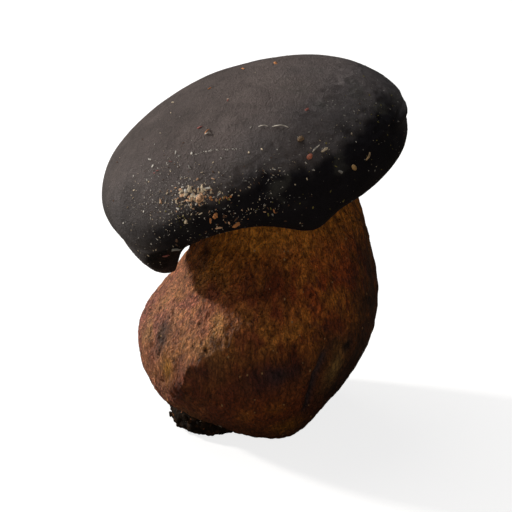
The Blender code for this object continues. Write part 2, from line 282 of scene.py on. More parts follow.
def blend(low, high, share):
    """Mixes two colours or values by a share from 0 to 1."""
    share = np.clip(share, 0.0, 1.0)[..., None]
    return np.asarray(low) * (1.0 - share) + np.asarray(high) * share


# %% [markdown]
# ## The cap's shape
# The cap is half an ellipsoid above its widest ring, and a skirt that rolls in below it. It is tilted
# down to the left, and its skirt is deepest at the left, a little to the front. Right of that the edge
# lifts in an arch, with a small lobe hanging beside it, and at the back left it lifts again, which
# lets low light in under the cap. The driving sizes are the CAD model's, so the fine skin lies on the
# plain solid. A point is named by its angle round the cap and its travel from the crown: 0 is the
# crown, 1 the widest ring, 2 the lip.

# %% The cap's driving sizes and its edge
CAP_CENTRE = np.array((-0.0012, 0.0069, 0.0903))
CAP_TILT_LEFT, CAP_TILT_FRONT = math.radians(25.6), math.radians(2.4)
CAP_RADIUS, CROWN_HEIGHT, CROWN_SHIFT = 0.0512, 0.0315, -0.0096
CAP_OVAL, CAP_OVAL_ANGLE = 0.04, 27.0
SKIRT_DEPTH, SKIRT_EXTRA_LEFT = 0.0144, 0.0088
INROLL, INROLL_EXTRA_LEFT = 0.0074, 0.0014
ARCH_HEIGHT, ARCH_ANGLE, ARCH_WIDTH = 0.0151, 246.5, 35.3
SHOULDER_HEIGHT, SHOULDER_ANGLE, SHOULDER_WIDTH = 0.0015, 227.0, 9.0
BACK_LIFT, LIFT_START, LIFT_FULL, LIFT_FALLING, LIFT_END = 0.0140, 95.0, 150.0, 185.0, 212.0
LOBE_DEPTH, LOBE_ANGLE, LOBE_WIDTH = 0.0040, 286.4, 10.2
RIM_THICKNESS, MARGIN_WALL, ROLL_RADIUS, EDGE_SOFTNESS = 0.0035, 0.0105, 0.0017, 0.0015


def tilted_axes(share):
    """Right, back and up directions of planes with a share of the cap's tilt."""
    left = np.tan(CAP_TILT_LEFT * share)
    front = np.tan(CAP_TILT_FRONT * share)
    up = np.stack([-left, -front, np.ones_like(left)], -1)
    up /= np.linalg.norm(up, axis=-1, keepdims=True)
    right = np.array((1.0, 0.0, 0.0)) - up * up[..., :1]
    right /= np.linalg.norm(right, axis=-1, keepdims=True)
    return right, np.cross(up, right), up


CAP_RIGHT, CAP_BACK, CAP_UP = tilted_axes(np.array(1.0))


def soft_floor(value, floor, softness):
    """The larger of value and floor with a rounded corner: floor + s ln(1 + e^((value-floor)/s))."""
    return floor + softness * np.logaddexp(0.0, (value - floor) / softness)


def cap_edge(angle):
    """Radius and height of the widest ring, then of the lip, at each angle."""
    wide = CAP_RADIUS * (1.0 + CAP_OVAL * np.cos(np.radians(2.0 * (angle - CAP_OVAL_ANGLE))))
    left = round_hill(angle, 180.0, 60.0)
    lip_z = -(SKIRT_DEPTH + SKIRT_EXTRA_LEFT * left)
    lip_z = lip_z + ARCH_HEIGHT * round_hill(angle, ARCH_ANGLE, ARCH_WIDTH)
    lip_z = lip_z + SHOULDER_HEIGHT * round_hill(angle, SHOULDER_ANGLE, SHOULDER_WIDTH)
    lift = step_up(angle % 360.0, LIFT_START, LIFT_FULL)
    lip_z = lip_z + BACK_LIFT * lift * (1.0 - step_up(angle % 360.0, LIFT_FALLING, LIFT_END))
    lip_z = lip_z - LOBE_DEPTH * round_hill(angle, LOBE_ANGLE, LOBE_WIDTH)
    lip_r = wide - (INROLL + INROLL_EXTRA_LEFT * left)
    return wide, soft_floor(lip_z + RIM_THICKNESS, 0.0, EDGE_SOFTNESS), lip_r, lip_z


# %% The cap's frame and its plain skin
def in_cap(radius, angle, height):
    """Point = centre + radius cos(a) right + radius sin(a) back + height up, in the tilted cap."""
    radius, angle, height = np.broadcast_arrays(radius, angle, height)
    turn = np.radians(angle)
    flat = (radius * np.cos(turn))[..., None] * CAP_RIGHT
    flat = flat + (radius * np.sin(turn))[..., None] * CAP_BACK
    return CAP_CENTRE + flat + height[..., None] * CAP_UP


def cap_skin(angle, travel):
    """Outside of the cap: an ellipse from crown to widest ring, a second from there to the lip."""
    angle, travel = np.broadcast_arrays(angle, travel)
    wide, wide_z, lip_r, lip_z = cap_edge(angle)
    above = 0.5 * np.pi * np.clip(travel, 0.0, 1.0)
    below = 0.5 * np.pi * np.clip(travel - 1.0, 0.0, 1.0)
    radius = np.where(travel <= 1.0, wide * np.sin(above), lip_r + (wide - lip_r) * np.cos(below))
    high = wide_z + (CROWN_HEIGHT - wide_z) * np.cos(above)
    height = np.where(travel <= 1.0, high, wide_z + (lip_z - wide_z) * np.sin(below))
    lean = CROWN_SHIFT * np.clip(height / CROWN_HEIGHT, 0.0, 1.0)
    return in_cap(radius, angle, height) + lean[..., None] * CAP_RIGHT


# %% [markdown]
# The tubes need a hollow to sit in. Their ring starts 25 mm from the axis, beside the stem, and ends
# at the skirt's inner wall. A share from 0 to 1 runs across it. Their free face swells a little
# between stem and margin, and they are longest halfway.

# %% The section of the tube layer
TUBE_START, TUBE_FACE_START, TUBE_FACE_END, FACE_SWELL = 0.0255, -0.0070, -0.0055, 0.0025
LENGTH_AT_STEM, LENGTH_AT_MARGIN, EXTRA_LENGTH = 0.0030, 0.0025, 0.0060
STEM_GAP, MARGIN_GAP, CEILING_GAP = 0.0004, 0.0002, 0.0003


def tube_section(angle, share):
    """Radius, face height and tube length at a share of the way from stem to margin."""
    wide, _, _, lip_z = cap_edge(angle)
    radius = TUBE_START + (wide - MARGIN_WALL - TUBE_START) * share
    end = soft_floor(lip_z + LENGTH_AT_MARGIN, TUBE_FACE_END, EDGE_SOFTNESS)
    middle = np.sin(np.pi * share)
    swell = FACE_SWELL * (1.0 - 0.6 * round_hill(angle, ARCH_ANGLE, ARCH_WIDTH))
    face = (1.0 - share) * TUBE_FACE_START + share * end - swell * middle
    length = (1.0 - share) * LENGTH_AT_STEM + share * LENGTH_AT_MARGIN + EXTRA_LENGTH * middle
    return radius, face, length


# %% [markdown]
# ## The cap's skin
# Up close the cap isn't a smooth ellipsoid. It has shallow swells, a puckered and pitted patch on its
# right shoulder, fine wrinkles across the front where it turns down, and a blunt swelling at its right
# end. These are heights along the normal, added to the plain shape before the mesh is made, so they
# show in the outline too. The relief fades to less than a third at the lip.

# %% Relief of the cap
def cap_relief(points, angle, travel):
    """Height in metres: wide swells + wrinkles in three patches, less their pits, + fine grain
    + a blunt end on the right + a swell on the crown - a dent on the right - a dent on the left."""
    swells = 0.00050 * lumps(points, 0.024, 11, 2) + 0.00012 * lumps(points, 0.007, 12)
    right = spot(angle, travel, 338.0, 24.0, 0.86, 0.20)
    front = spot(angle, travel, 283.0, 26.0, 0.83, 0.12)
    left = spot(angle, travel, 205.0, 40.0, 1.35, 0.40)
    patch = np.clip(right + front + 0.35 * left, 0.0, 1.0)
    folds = 1.0 - 2.0 * np.abs(lumps(points, 0.0034, 13, 2))
    gap, luck = nearest_cell(points, 0.0029, 14)
    pits = np.where(luck > 0.55, hill(gap, 0.0, 0.30), 0.0)
    wrinkles = patch * (0.00042 * folds - 0.00080 * pits)
    grain = 0.00003 * lumps(points, 0.0016, 15, 2)
    blunt = step_up(travel, 1.04, 1.09) * (1.0 - step_up(travel, 1.15, 1.24))
    blunt = 0.0018 * blunt * round_hill(angle, 351.0, 9.0)
    crown_swell = 0.0006 * spot(angle, travel, 20.0, 22.0, 0.55, 0.22)
    right_dent = 0.0013 * spot(angle, travel, 343.0, 17.0, 1.16, 0.20)
    left_dent = 0.0008 * round_hill(angle, 199.0, 16.0) * step_up(travel, 0.70, 1.0)
    return swells + wrinkles + grain + blunt + crown_swell - right_dent - left_dent


# %% The cap as one closed skin
CAP_COLUMNS = 500
cap_angles = np.arange(CAP_COLUMNS) * 360.0 / CAP_COLUMNS
CROWN_ROWS, SKIRT_ROWS, ROLL_ROWS, WALL_ROWS, CEILING_ROWS = 121, 37, 10, 12, 14
outer_travel = np.concatenate([np.linspace(0.0, 1.0, CROWN_ROWS)[1:], np.linspace(1.0, 2.0, SKIRT_ROWS)[1:]])
outer_angle, outer_way = np.meshgrid(cap_angles, outer_travel)
outer = cap_skin(outer_angle, outer_way)
outer_lift = cap_relief(outer, outer_angle, outer_way)
outer_lift = outer_lift * (1.0 - 0.7 * step_up(outer_way, 1.8, 2.0))
outer = outer + outward(outer) * outer_lift[..., None]
wide, wide_z, lip_r, lip_z = cap_edge(cap_angles)
turn = np.linspace(0.0, 0.5 * np.pi, ROLL_ROWS)[1:, None]
roll = in_cap(lip_r - ROLL_RADIUS * np.sin(turn), cap_angles, lip_z + ROLL_RADIUS * (1.0 - np.cos(turn)))
edge_r, edge_face, edge_length = tube_section(cap_angles, 1.0)
climb = np.linspace(0.0, 1.0, WALL_ROWS)[1:, None]
wall_r = (lip_r - ROLL_RADIUS) * (1.0 - climb) + edge_r * climb
wall_z = (lip_z + ROLL_RADIUS) * (1.0 - climb) + (edge_face + edge_length) * climb
wall = in_cap(wall_r, cap_angles, wall_z)
inward = np.linspace(1.0, 0.0, CEILING_ROWS)[1:, None]
ceiling_r, ceiling_face, ceiling_length = tube_section(cap_angles, inward)
ceiling = in_cap(ceiling_r, cap_angles, ceiling_face + ceiling_length)
CEILING_HEIGHT = TUBE_FACE_START + LENGTH_AT_STEM
crown = cap_skin(0.0, 0.0)
middle = in_cap(0.0, 0.0, CEILING_HEIGHT)
crown = crown + CAP_UP * outer_lift[0].mean()
cap = skin("cap_with_skin", np.concatenate([outer, roll, wall, ceiling]), crown, middle)
settle(cap, "cap_skin", "cap")

# %% [markdown]
# The cap's colour is a dark brown that is nearly black. Light and shade are painted into it: past the
# shoulder at the front and right, low on the skirt and at the front-left lip, where the cap turns away
# from the lamps, the skin is painted like ink, as painted shade; it is painted darker on the left, where
# the key lamp strikes it, and lighter towards the right and in a few patches, as painted light. The
# crown is the brownest, and the right shoulder has dull olive-grey blotches.

# %% Colour of every point of the cap
PAINTED_SHADE_INK, VELVET = (0.0105, 0.0095, 0.0130), (0.068, 0.063, 0.065)
PAINTED_SHADE_BLACK, COCOA, ASH = (0.0025, 0.0028, 0.0045), (0.096, 0.075, 0.069), (0.068, 0.068, 0.061)
blotch = lumps(outer, 0.0060, 16, 3)
crown_share = 1.0 - step_up(outer_way + 0.10 * lumps(outer, 0.012, 17, 2), 0.25, 0.95)
cap_colour = blend(VELVET, COCOA, 0.85 * crown_share)
# Masks for painted shade: the side facing the front and right, and a ragged travel past which the cap turns
# away from the key lamp.
painted_shade_front = step_up(np.cos(np.radians(outer_angle - 288.0)), 0.30, 0.64)
painted_shade_edge = outer_way + 0.08 * lumps(outer, 0.008, 18, 3)
painted_shade_edge += 0.05 * round_hill(outer_angle, 272.0, 16.0) - 0.025 * round_hill(outer_angle, 324.0, 14.0)
# Painted light and shade: the skin is painted darker on the left, where the key lamp strikes it, and lighter
# towards the right and in three patches.
painted_lightness = 0.92 + 0.90 * step_up(np.cos(np.radians(outer_angle - 330.0)) * outer_way, -0.06, 0.68)
painted_lightness += 0.42 * spot(outer_angle, outer_way, 238.0, 32.0, 0.80, 0.34)
painted_lightness += 0.60 * spot(outer_angle, outer_way, 350.0, 13.0, 0.72, 0.13)
painted_lightness += 0.24 * spot(outer_angle, outer_way, 278.0, 30.0, 0.52, 0.15)
cap_colour = cap_colour * painted_lightness[..., None]
# Painted shade: past the shoulder at the front and right the skin goes to near-black ink.
cap_colour = blend(cap_colour, PAINTED_SHADE_INK, painted_shade_front * step_up(painted_shade_edge, 0.80, 0.92))
# Painted shade: low on the skirt, where it turns under towards the lip, the skin goes to near-black ink all
# round.
cap_colour = blend(cap_colour, PAINTED_SHADE_INK, 0.85 * step_up(painted_shade_edge, 1.50, 1.85))
# Painted shade: a near-black patch low on the front-left skirt, by the lip, where it rolls in.
painted_lip_shade = spot(outer_angle, painted_shade_edge, 228.0, 15.0, 1.45, 0.36)
cap_colour = blend(cap_colour, PAINTED_SHADE_BLACK, step_up(painted_lip_shade, 0.22, 0.50))
shoulder = spot(outer_angle, outer_way, 335.0, 30.0, 0.80, 0.35)
front_patch = spot(outer_angle, outer_way, 284.0, 30.0, 0.85, 0.18)
cap_colour = blend(cap_colour, ASH, 0.6 * (shoulder + front_patch) * step_up(blotch, 0.1, 0.6))
cap_colour = cap_colour * (1.0 + 0.18 * blotch)[..., None]
under = np.concatenate([roll, wall, ceiling])
under_colour = np.broadcast_to(np.array((0.045, 0.034, 0.022)), under.shape)
paint(cap, "skin_colour", np.concatenate([cap_colour, under_colour]).reshape(-1, 3))

# %% [markdown]
# ## The tube layer
# The sponge under a bolete's cap is thousands of tubes that end in round pores, here a dull orange that
# passes to olive yellow at the margin. Cutting thousands of holes would be slow and fragile. Instead the
# face is a very fine grid, and every point near a cell's middle is sunk, which leaves thin walls
# between the pores. The cells come from the same scattered seeds that serve the soil.

# %% The tube layer as one closed skin
PORE_SIZE, PORE_DEPTH = 0.00085, 0.0007
TUBE_COLUMNS = 1040
tube_angles = np.arange(TUBE_COLUMNS) * 360.0 / TUBE_COLUMNS
across = np.linspace(0.0, 1.0, 78)[:, None]
tube_r, tube_face, _ = tube_section(tube_angles, across)
tube_r = tube_r - MARGIN_GAP * across - STEM_GAP * (1.0 - across)
flat_spots = np.stack([tube_r * np.cos(np.radians(tube_angles)),
                       tube_r * np.sin(np.radians(tube_angles)), 0.0 * tube_r], -1)
pore_gap, _ = nearest_cell(flat_spots[..., :2], PORE_SIZE, 21)
pore = 1.0 - step_up(pore_gap, 0.26, 0.52)
edge_fade = step_up(across, 0.0, 0.05) * (1.0 - step_up(across, 0.95, 1.0))
ripple = 0.0005 * lumps(flat_spots, 0.009, 22, 2)
face_z = tube_face + ripple * edge_fade + PORE_DEPTH * pore * edge_fade
face = in_cap(tube_r, tube_angles, face_z)
back_share = np.linspace(1.0, 0.0, 7)[:, None]
back_r, back_face, back_length = tube_section(tube_angles, back_share)
back_r = back_r - MARGIN_GAP * back_share - STEM_GAP * (1.0 - back_share)
back_side = in_cap(back_r, tube_angles, back_face + back_length - CEILING_GAP)
tubes = skin("tubes_with_pores", np.concatenate([face, back_side]), ring=True)
settle(tubes, "pore_tubes", "pore_layer")
margin_share = np.broadcast_to(across, pore.shape)
orange, olive_yellow = (0.330, 0.115, 0.020), (0.330, 0.210, 0.045)
tube_colour = blend(orange, olive_yellow, 0.25 + 0.6 * step_up(margin_share, 0.55, 1.0)
                    + 0.3 * lumps(flat_spots, 0.008, 23, 2))
# Painted shade: the sunk middle of every pore is painted nearly black, standing in for the shade down the
# tube.
tube_colour = blend(tube_colour, (0.060, 0.020, 0.006), 0.75 * pore)
back_colour = np.broadcast_to(np.array(olive_yellow), back_side.shape)
paint(tubes, "pore_colour", np.concatenate([tube_colour, back_colour]).reshape(-1, 3))
print("pores about", PORE_SIZE * 1000, "mm apart; sunk share", round(float(pore.mean()), 2))

# %% [markdown]
# ## The stem's shape
# The stem is pear-shaped and bends on its way up: its foot and its neck aren't in line. Seven
# stations, each with a middle, a radius and a share of the cap's tilt, are joined by a smooth curve,
# and round sections are carried along it. The foot is a flat disc, drawn in at the front left, where
# the soil is held.

# %% The stem's driving sizes and its skin
neck, top = CAP_CENTRE - CAP_UP * 0.0120, CAP_CENTRE - CAP_UP * 0.0043
STEM_STATIONS = np.array((
    # middle x, y and z, radius, share of the cap's tilt
    (0.0000, 0.0000, 0.0000, 0.0200, 0.0),
    (-0.0056, 0.0020, 0.0062, 0.0294, 0.0),
    (-0.0044, 0.0006, 0.0206, 0.0366, 0.0),
    (-0.0005, 0.0016, 0.0377, 0.0397, 0.1),
    (0.0030, 0.0036, 0.0562, 0.0340, 0.45),
    (*neck, 0.0259, 1.0),
    (*top, 0.0242, 1.0),
))


def along_rows(rows, travel):
    """Catmull-Rom curve through the rows, for travel from 0 to 1."""
    ends = np.vstack([2 * rows[0] - rows[1], rows, 2 * rows[-1] - rows[-2]])
    place = np.clip(travel, 0.0, 1.0) * (len(rows) - 1)
    first = np.minimum(place.astype(int), len(rows) - 2)
    u = (place - first)[..., None]
    a, b, c, d = (ends[first + n] for n in range(4))
    bend = (2 * a - 5 * b + 4 * c - d) * u + (3 * b - a - 3 * c + d) * u * u
    return b + 0.5 * u * ((c - a) + bend)


def keel(angle, height):
    """A rounded ridge down the front left, with a shallow hollow on its right."""
    centre = 222.0 + 32.0 * np.clip(height / 0.050, 0.0, 1.0)
    hollow = 0.6 * round_hill(angle, centre + 24.0, 16.0)
    return 0.0016 * hill(height, 0.031, 0.020) * (round_hill(angle, centre, 13.0) - hollow)


def stem_skin(angle, travel):
    """Point = middle + radius cos(a) right + radius sin(a) back, in each station's own plane."""
    angle, travel = np.broadcast_arrays(angle, travel)
    station = along_rows(STEM_STATIONS, travel)
    z, radius = station[..., 2], station[..., 3]
    turn = np.radians(angle)
    swell = np.sin(np.pi * np.clip(z / 0.090, 0.0, 1.0))
    uneven = 0.02 * np.cos(turn - math.radians(246.0)) + 0.02 * np.cos(2.0 * turn)
    notch = 0.24 * round_hill(angle, 226.0, 32.0) * np.clip(1.0 - z / 0.010, 0.0, 1.0)
    reach = radius * (1.0 + swell * uneven - notch) + keel(angle, z)
    right, behind, _ = tilted_axes(np.clip(station[..., 4], 0.0, 1.0))
    offset = (reach * np.cos(turn))[..., None] * right + (reach * np.sin(turn))[..., None] * behind
    low = np.clip(z / 0.0062, 0.0, 1.0) * np.clip((0.0206 - z) / 0.0144, 0.0, 1.0)
    point = station[..., :3] + offset
    point[..., 2] += -0.04 * (low + hill(z, 0.0206, 0.012)) * offset[..., 0]
    point[..., 2] = np.maximum(point[..., 2], 0.0)
    return point


# %% [markdown]
# ## The stem's skin
# The skin of this stem is a felt of upright fibres, torn into a loose net, with scabs and small holes
# where slugs have fed, and one long bluish slit low on the right. Fibres are noise that is
# stretched upwards; the slit is a groove that follows a bent line of angle against height.

# %% Relief of the stem
def torn(points, size, seed):
    """Lumps whose points are first pushed about by other lumps, so that they look torn, not round."""
    push = np.stack([lumps(points, size, seed + 100 + n) for n in range(3)], -1)
    return lumps((points + 0.6 * size * push) * np.array((1.0, 1.0, 0.65)), size, seed, 2)


SLIT_HEIGHTS, SLIT_ANGLES = (0.0110, 0.0200, 0.0298, 0.0400), (306.5, 303.0, 300.0, 302.0)
FEEDING_HOLES = (
    # angle, height, size, depth
    (219.5, 0.0545, 0.0006, 0.0006), (240.5, 0.0412, 0.0006, 0.0006), (243.5, 0.0398, 0.0005, 0.0005),
    (233.0, 0.0455, 0.0005, 0.0005), (252.0, 0.0440, 0.0005, 0.0005), (316.0, 0.0375, 0.0014, 0.0005),
    (120.0, 0.0480, 0.0008, 0.0007), (60.0, 0.0330, 0.0007, 0.0006), (20.0, 0.0590, 0.0006, 0.0006),
    (150.0, 0.0290, 0.0009, 0.0007), (355.0, 0.0270, 0.0006, 0.0005), (82.0, 0.0560, 0.0006, 0.0005),
)
BELLY_RADIUS = 0.037


def hole_away(angle, height, centre, level):
    """Distance in metres over the belly from a hole's middle: hypot(turn x radius, rise)."""
    turn = np.radians((angle - centre + 180.0) % 360.0 - 180.0)
    return np.hypot(turn * BELLY_RADIUS, height - level)


def slit_share(angle, height):
    """One inside the slit, easing to nothing at its sides and ends."""
    centre = np.interp(height, SLIT_HEIGHTS, SLIT_ANGLES)
    ends = step_up(height, 0.0100, 0.0160) * (1.0 - step_up(height, 0.0360, 0.0410))
    return ends * round_hill(angle, centre, 2.0)


def stem_relief(points, angle):
    """Height in metres: swells + upright fibres + torn net + ribs under the cap + a crooked ridge
    + a toe at the foot - holes - slit + the slit's raised lip."""
    height = points[..., 2]
    upright = points * np.array((1.0, 1.0, 0.28))
    swells = 0.00050 * lumps(points * np.array((1.0, 1.0, 0.7)), 0.010, 31, 3)
    fibres = 0.00016 * lumps(upright, 0.0016, 32, 2)
    net = 0.00013 + 0.00013 * round_hill(angle, 200.0, 60.0)
    net = net * (1.0 - 3.0 * np.abs(torn(points, 0.0034, 33)))
    ribs = 0.00025 * np.cos(np.radians(angle) * 46.0 + 3.0 * lumps(points, 0.02, 34))
    ribs = ribs * step_up(height, 0.052, 0.075)
    holes = np.zeros_like(height)
    for centre, level, size, depth in FEEDING_HOLES:
        away = hole_away(angle, height, centre, level)
        holes += depth * (1.0 - step_up(away, 0.4 * size, 1.3 * size))
    slit = slit_share(angle, height)
    lip = 0.0005 * round_hill(angle, np.interp(height, SLIT_HEIGHTS, SLIT_ANGLES) - 5.0, 2.5)
    lip = lip * step_up(height, 0.012, 0.018) * (1.0 - step_up(height, 0.034, 0.040))
    crest = 214.0 + 40.0 * np.clip(height / 0.050, 0.0, 1.0) + 9.0 * lumps(points, 0.006, 35)
    ridge = 0.0012 * spot(angle, height, crest, 5.5, 0.032, 0.018)
    toe = 0.0018 * spot(angle, height, 287.0, 26.0, 0.002, 0.006)
    return swells + fibres + net + ribs + ridge + toe - holes - 0.0011 * slit + lip


# %% The stem as one closed skin
STEM_COLUMNS, STEM_ROWS = 470, 196
stem_angles = np.arange(STEM_COLUMNS) * 360.0 / STEM_COLUMNS
stem_angle, stem_travel = np.meshgrid(stem_angles, np.linspace(0.0, 1.0, STEM_ROWS))
side = stem_skin(stem_angle, stem_travel)
free = step_up(stem_travel, 0.0, 0.05) * (1.0 - step_up(stem_travel, 0.93, 1.0))
side = side + outward(side) * (stem_relief(side, stem_angle) * free)[..., None]
side[..., 2] = np.maximum(side[..., 2], 0.0)
foot_share = np.linspace(0.1, 0.95, 8)[:, None, None]
foot = side[:1] * foot_share
stem = skin("stem_with_skin", np.concatenate([foot, side]), np.zeros(3), top)
settle(stem, "stem_skin", "stem")

# %% [markdown]
# ## The stem's colours
# Three pigments overlap here: ochre flesh showing through, red-brown down that covers it in streaks,
# and blue-black bruises where the flesh was touched. They don't follow a single noise: some marks sit
# at known places. Light and shade are painted in as well: the left flank, which the key lamp lights, is
# paler, the upper stem under the cap brighter, and the shaded front and right, the neck just under the
# lip and the low end of the ridge darker, and the holes are painted dark inside. So the broad colours
# are worked out per point, with the same fibres that raise the skin, and stored on the mesh. The
# material adds what is finer than the grid.

# %% The stem's pigments and marks
OCHRE, TAN, RED_BROWN = (0.540, 0.198, 0.027), (0.680, 0.290, 0.120), (0.290, 0.060, 0.012)
MAROON, BLUSH, OLIVE = (0.100, 0.015, 0.005), (0.420, 0.145, 0.100), (0.470, 0.205, 0.030)
SLATE, UMBER, AMBER = (0.040, 0.036, 0.046), (0.100, 0.035, 0.014), (0.480, 0.190, 0.020)
BRICK, WINE, STRAW_YELLOW = (0.165, 0.042, 0.015), (0.095, 0.026, 0.020), (0.480, 0.290, 0.090)
PAINTED_SHADE_BROWN = (0.055, 0.024, 0.014)
# Painted light and shade among the marks: the darkest brown ones, on the shaded right side and just under
# the lip at 212 degrees, and the maroon one at 234 degrees by the ridge's shaded low end, are painted shade;
# the tan one at 196 degrees on the lit upper flank is painted light.
STEM_MARKS = (
    # angle, height, spread of each, pigment, strength
    (186.0, 0.0350, 30.0, 0.030, BLUSH, 0.55), (222.0, 0.0420, 20.0, 0.010, TAN, 0.35),
    (215.0, 0.0372, 4.5, 0.0060, SLATE, 0.75), (211.0, 0.0400, 3.5, 0.0040, SLATE, 0.45),
    (223.5, 0.0285, 6.0, 0.0070, OLIVE, 0.75), (236.0, 0.0420, 8.0, 0.0050, TAN, 0.35),
    (268.5, 0.0580, 16.0, 0.0080, MAROON, 0.70), (245.0, 0.0620, 12.0, 0.0080, MAROON, 0.25),
    (279.5, 0.0340, 14.0, 0.0065, MAROON, 0.95), (280.0, 0.0315, 10.0, 0.0040, SLATE, 0.85),
    (316.0, 0.0375, 3.5, 0.0028, SLATE, 0.90),
    (234.0, 0.0218, 10.0, 0.0060, MAROON, 0.80), (324.0, 0.0220, 15.0, 0.0130, PAINTED_SHADE_BROWN, 0.85),
    (212.0, 0.0628, 9.0, 0.0050, PAINTED_SHADE_BROWN, 0.75), (196.0, 0.0500, 9.0, 0.0060, TAN, 0.60),
    (334.0, 0.0530, 11.0, 0.0150, PAINTED_SHADE_BROWN, 0.60), (305.0, 0.0400, 6.0, 0.0070, PAINTED_SHADE_BROWN, 0.60),
    (250.0, 0.0500, 7.0, 0.0040, AMBER, 0.35), (290.0, 0.0500, 7.0, 0.0050, AMBER, 0.30),
    (310.0, 0.0240, 6.0, 0.0040, UMBER, 0.50),
    (283.0, 0.0170, 20.0, 0.0070, RED_BROWN, 0.50), (345.0, 0.0450, 24.0, 0.0300, PAINTED_SHADE_BROWN, 0.60),
    (332.0, 0.0300, 24.0, 0.0220, PAINTED_SHADE_BROWN, 0.75), (352.0, 0.0560, 16.0, 0.0200, PAINTED_SHADE_BROWN, 0.55),
    (272.0, 0.0290, 10.0, 0.0050, WINE, 0.70), (244.0, 0.0330, 6.0, 0.0050, WINE, 0.55),
    (110.0, 0.0400, 30.0, 0.0160, BLUSH, 0.40), (70.0, 0.0270, 14.0, 0.0090, SLATE, 0.45),
    (140.0, 0.0560, 12.0, 0.0080, MAROON, 0.50), (40.0, 0.0620, 20.0, 0.0090, TAN, 0.40),
    (311.5, 0.0305, 4.5, 0.0075, STRAW_YELLOW, 0.50), (298.0, 0.0070, 9.0, 0.0032, AMBER, 0.75),
    (285.0, 0.0180, 6.0, 0.0030, AMBER, 0.40), (270.0, 0.0150, 5.0, 0.0030, AMBER, 0.30),
)


# %% Colour of every point of the stem
def stem_colour(points, angle, travel):
    """Ochre under red-brown streaks, olive at the apex, dark at the foot, then the single marks."""
    height = points[..., 2]
    streak = lumps(points * np.array((1.0, 1.0, 0.24)), 0.0020, 41, 3)
    cloud = lumps(points, 0.016, 42, 2)
    patches = torn(points, 0.0050, 44)
    veins = step_up(0.16 - np.abs(torn(points, 0.0036, 46)), 0.0, 0.16)
    flank = round_hill(angle, 195.0, 52.0) * (1.0 - step_up(travel, 0.60, 0.80))
    base = blend(OCHRE, RED_BROWN, 0.48 + 0.45 * cloud + 0.50 * patches + 0.45 * streak)
    # Painted light over real patches: the left flank, which the key lamp lights, is made paler, in tan and
    # pink with its own patches.
    tan_patches_and_painted_light = blend(TAN, BLUSH, 0.28 + 1.5 * patches + 0.7 * streak)
    base = blend(base, tan_patches_and_painted_light, 1.15 * flank)
    base = blend(base, STRAW_YELLOW, 0.80 * flank * step_up(-patches - 0.4 * streak, 0.25, 0.70))
    base = blend(base, WINE, 0.75 * veins * (0.4 + 0.6 * step_up(cloud, -0.4, 0.4)))
    apex = step_up(travel, 0.66, 0.84)
    base = blend(base, OLIVE, 0.65 * apex)
    # Painted light: the upper stem, under the cap, is made up to 60 per cent brighter, standing in for light
    # that reaches it there.
    base = base * (1.0 + 0.60 * step_up(height, 0.036, 0.056))[..., None]
    base = blend(base, MAROON, 0.55 * step_up(-streak, 0.15, 0.7))
    # Painted shade: low down the stem turns darker and redder, most of all on the shaded front and right.
    shaded = step_up(np.cos(np.radians(angle - 290.0)), 0.30, 0.80)
    low = 1.0 - step_up(height + 0.004 * cloud, 0.022, 0.046)
    base = blend(base, BRICK, (0.25 + 0.55 * shaded) * low)
    base = blend(base, UMBER, 0.70 * (1.0 - step_up(height, 0.002, 0.018 + 0.006 * cloud)))
    ragged = 1.0 + 0.45 * lumps(points, 0.004, 43, 2)
    for centre, level, wide, tall, colour, strength in STEM_MARKS:
        base = blend(base, colour, strength * spot(angle, height, centre, wide, level, tall) * ragged)
    base = blend(base, SLATE, 0.85 * slit_share(angle, height))
    # Painted shade: the feeding holes are painted dark inside.
    for centre, level, size, _ in FEEDING_HOLES:
        away = hole_away(angle, height, centre, level)
        base = blend(base, (0.030, 0.012, 0.008), 0.85 * (1.0 - step_up(away, 0.5 * size, 1.5 * size)))
    return base


side_colour = stem_colour(side, stem_angle, stem_travel)
foot_colour = np.broadcast_to(np.array(UMBER), foot.shape)
paint(stem, "skin_colour", np.concatenate([foot_colour, side_colour]).reshape(-1, 3))
print("stem colours from", np.round(side_colour.min(axis=(0, 1)), 3), "to",
      np.round(side_colour.max(axis=(0, 1)), 3))

# %% [markdown]
# ## Soil at the foot
# The mushroom was pulled with a handful of humus that threads of mycelium hold to its foot. The clod
# is a flattened ball with a flat underside, pushed out into crumbs: inside each cell of a crowd of
# seeds the surface bulges, and it falls in between them. Its hidden half lies inside the stem's skin.

# %% The soil clod
CLOD_CENTRE, CLOD_SIZE = np.array((-0.0183, -0.0092, 0.0045)), np.array((0.0128, 0.0125, 0.0080))
CLOD_COLUMNS, CLOD_ROWS = 260, 120
BIG_CRUMB, SMALL_CRUMB, CLOD_LUMP = 0.0042, 0.0016, 0.007
BIG_LIFT, SMALL_LIFT, LUMP_LIFT = 0.0018, 0.0010, 0.0005
clod_way = ball_points(CLOD_COLUMNS, np.linspace(0.02, np.pi - 0.02, CLOD_ROWS))
clod = CLOD_CENTRE + clod_way * CLOD_SIZE
big_gap, _ = nearest_cell(clod, BIG_CRUMB, 51)
small_gap, small_luck = nearest_cell(clod, SMALL_CRUMB, 52)
clod_lift = BIG_LIFT * (0.65 - big_gap) + SMALL_LIFT * (0.6 - small_gap)
clod_lift += LUMP_LIFT * lumps(clod, CLOD_LUMP, 53)
clod = clod + clod_way * clod_lift[..., None]
clod[..., 2] = np.maximum(clod[..., 2], 0.0)
soil = skin("soil_held_by_threads", clod, CLOD_CENTRE + np.array((0.0, 0.0, CLOD_SIZE[2])),
            np.array((CLOD_CENTRE[0], CLOD_CENTRE[1], 0.0)))
settle(soil, "dark_soil", "soil_clod")
soil_colour = blend((0.012, 0.007, 0.004), (0.050, 0.025, 0.011), step_up(small_luck, 0.45, 1.0))
soil_colour = blend(soil_colour, (0.165, 0.062, 0.018), 0.8 * (small_luck > 0.965))
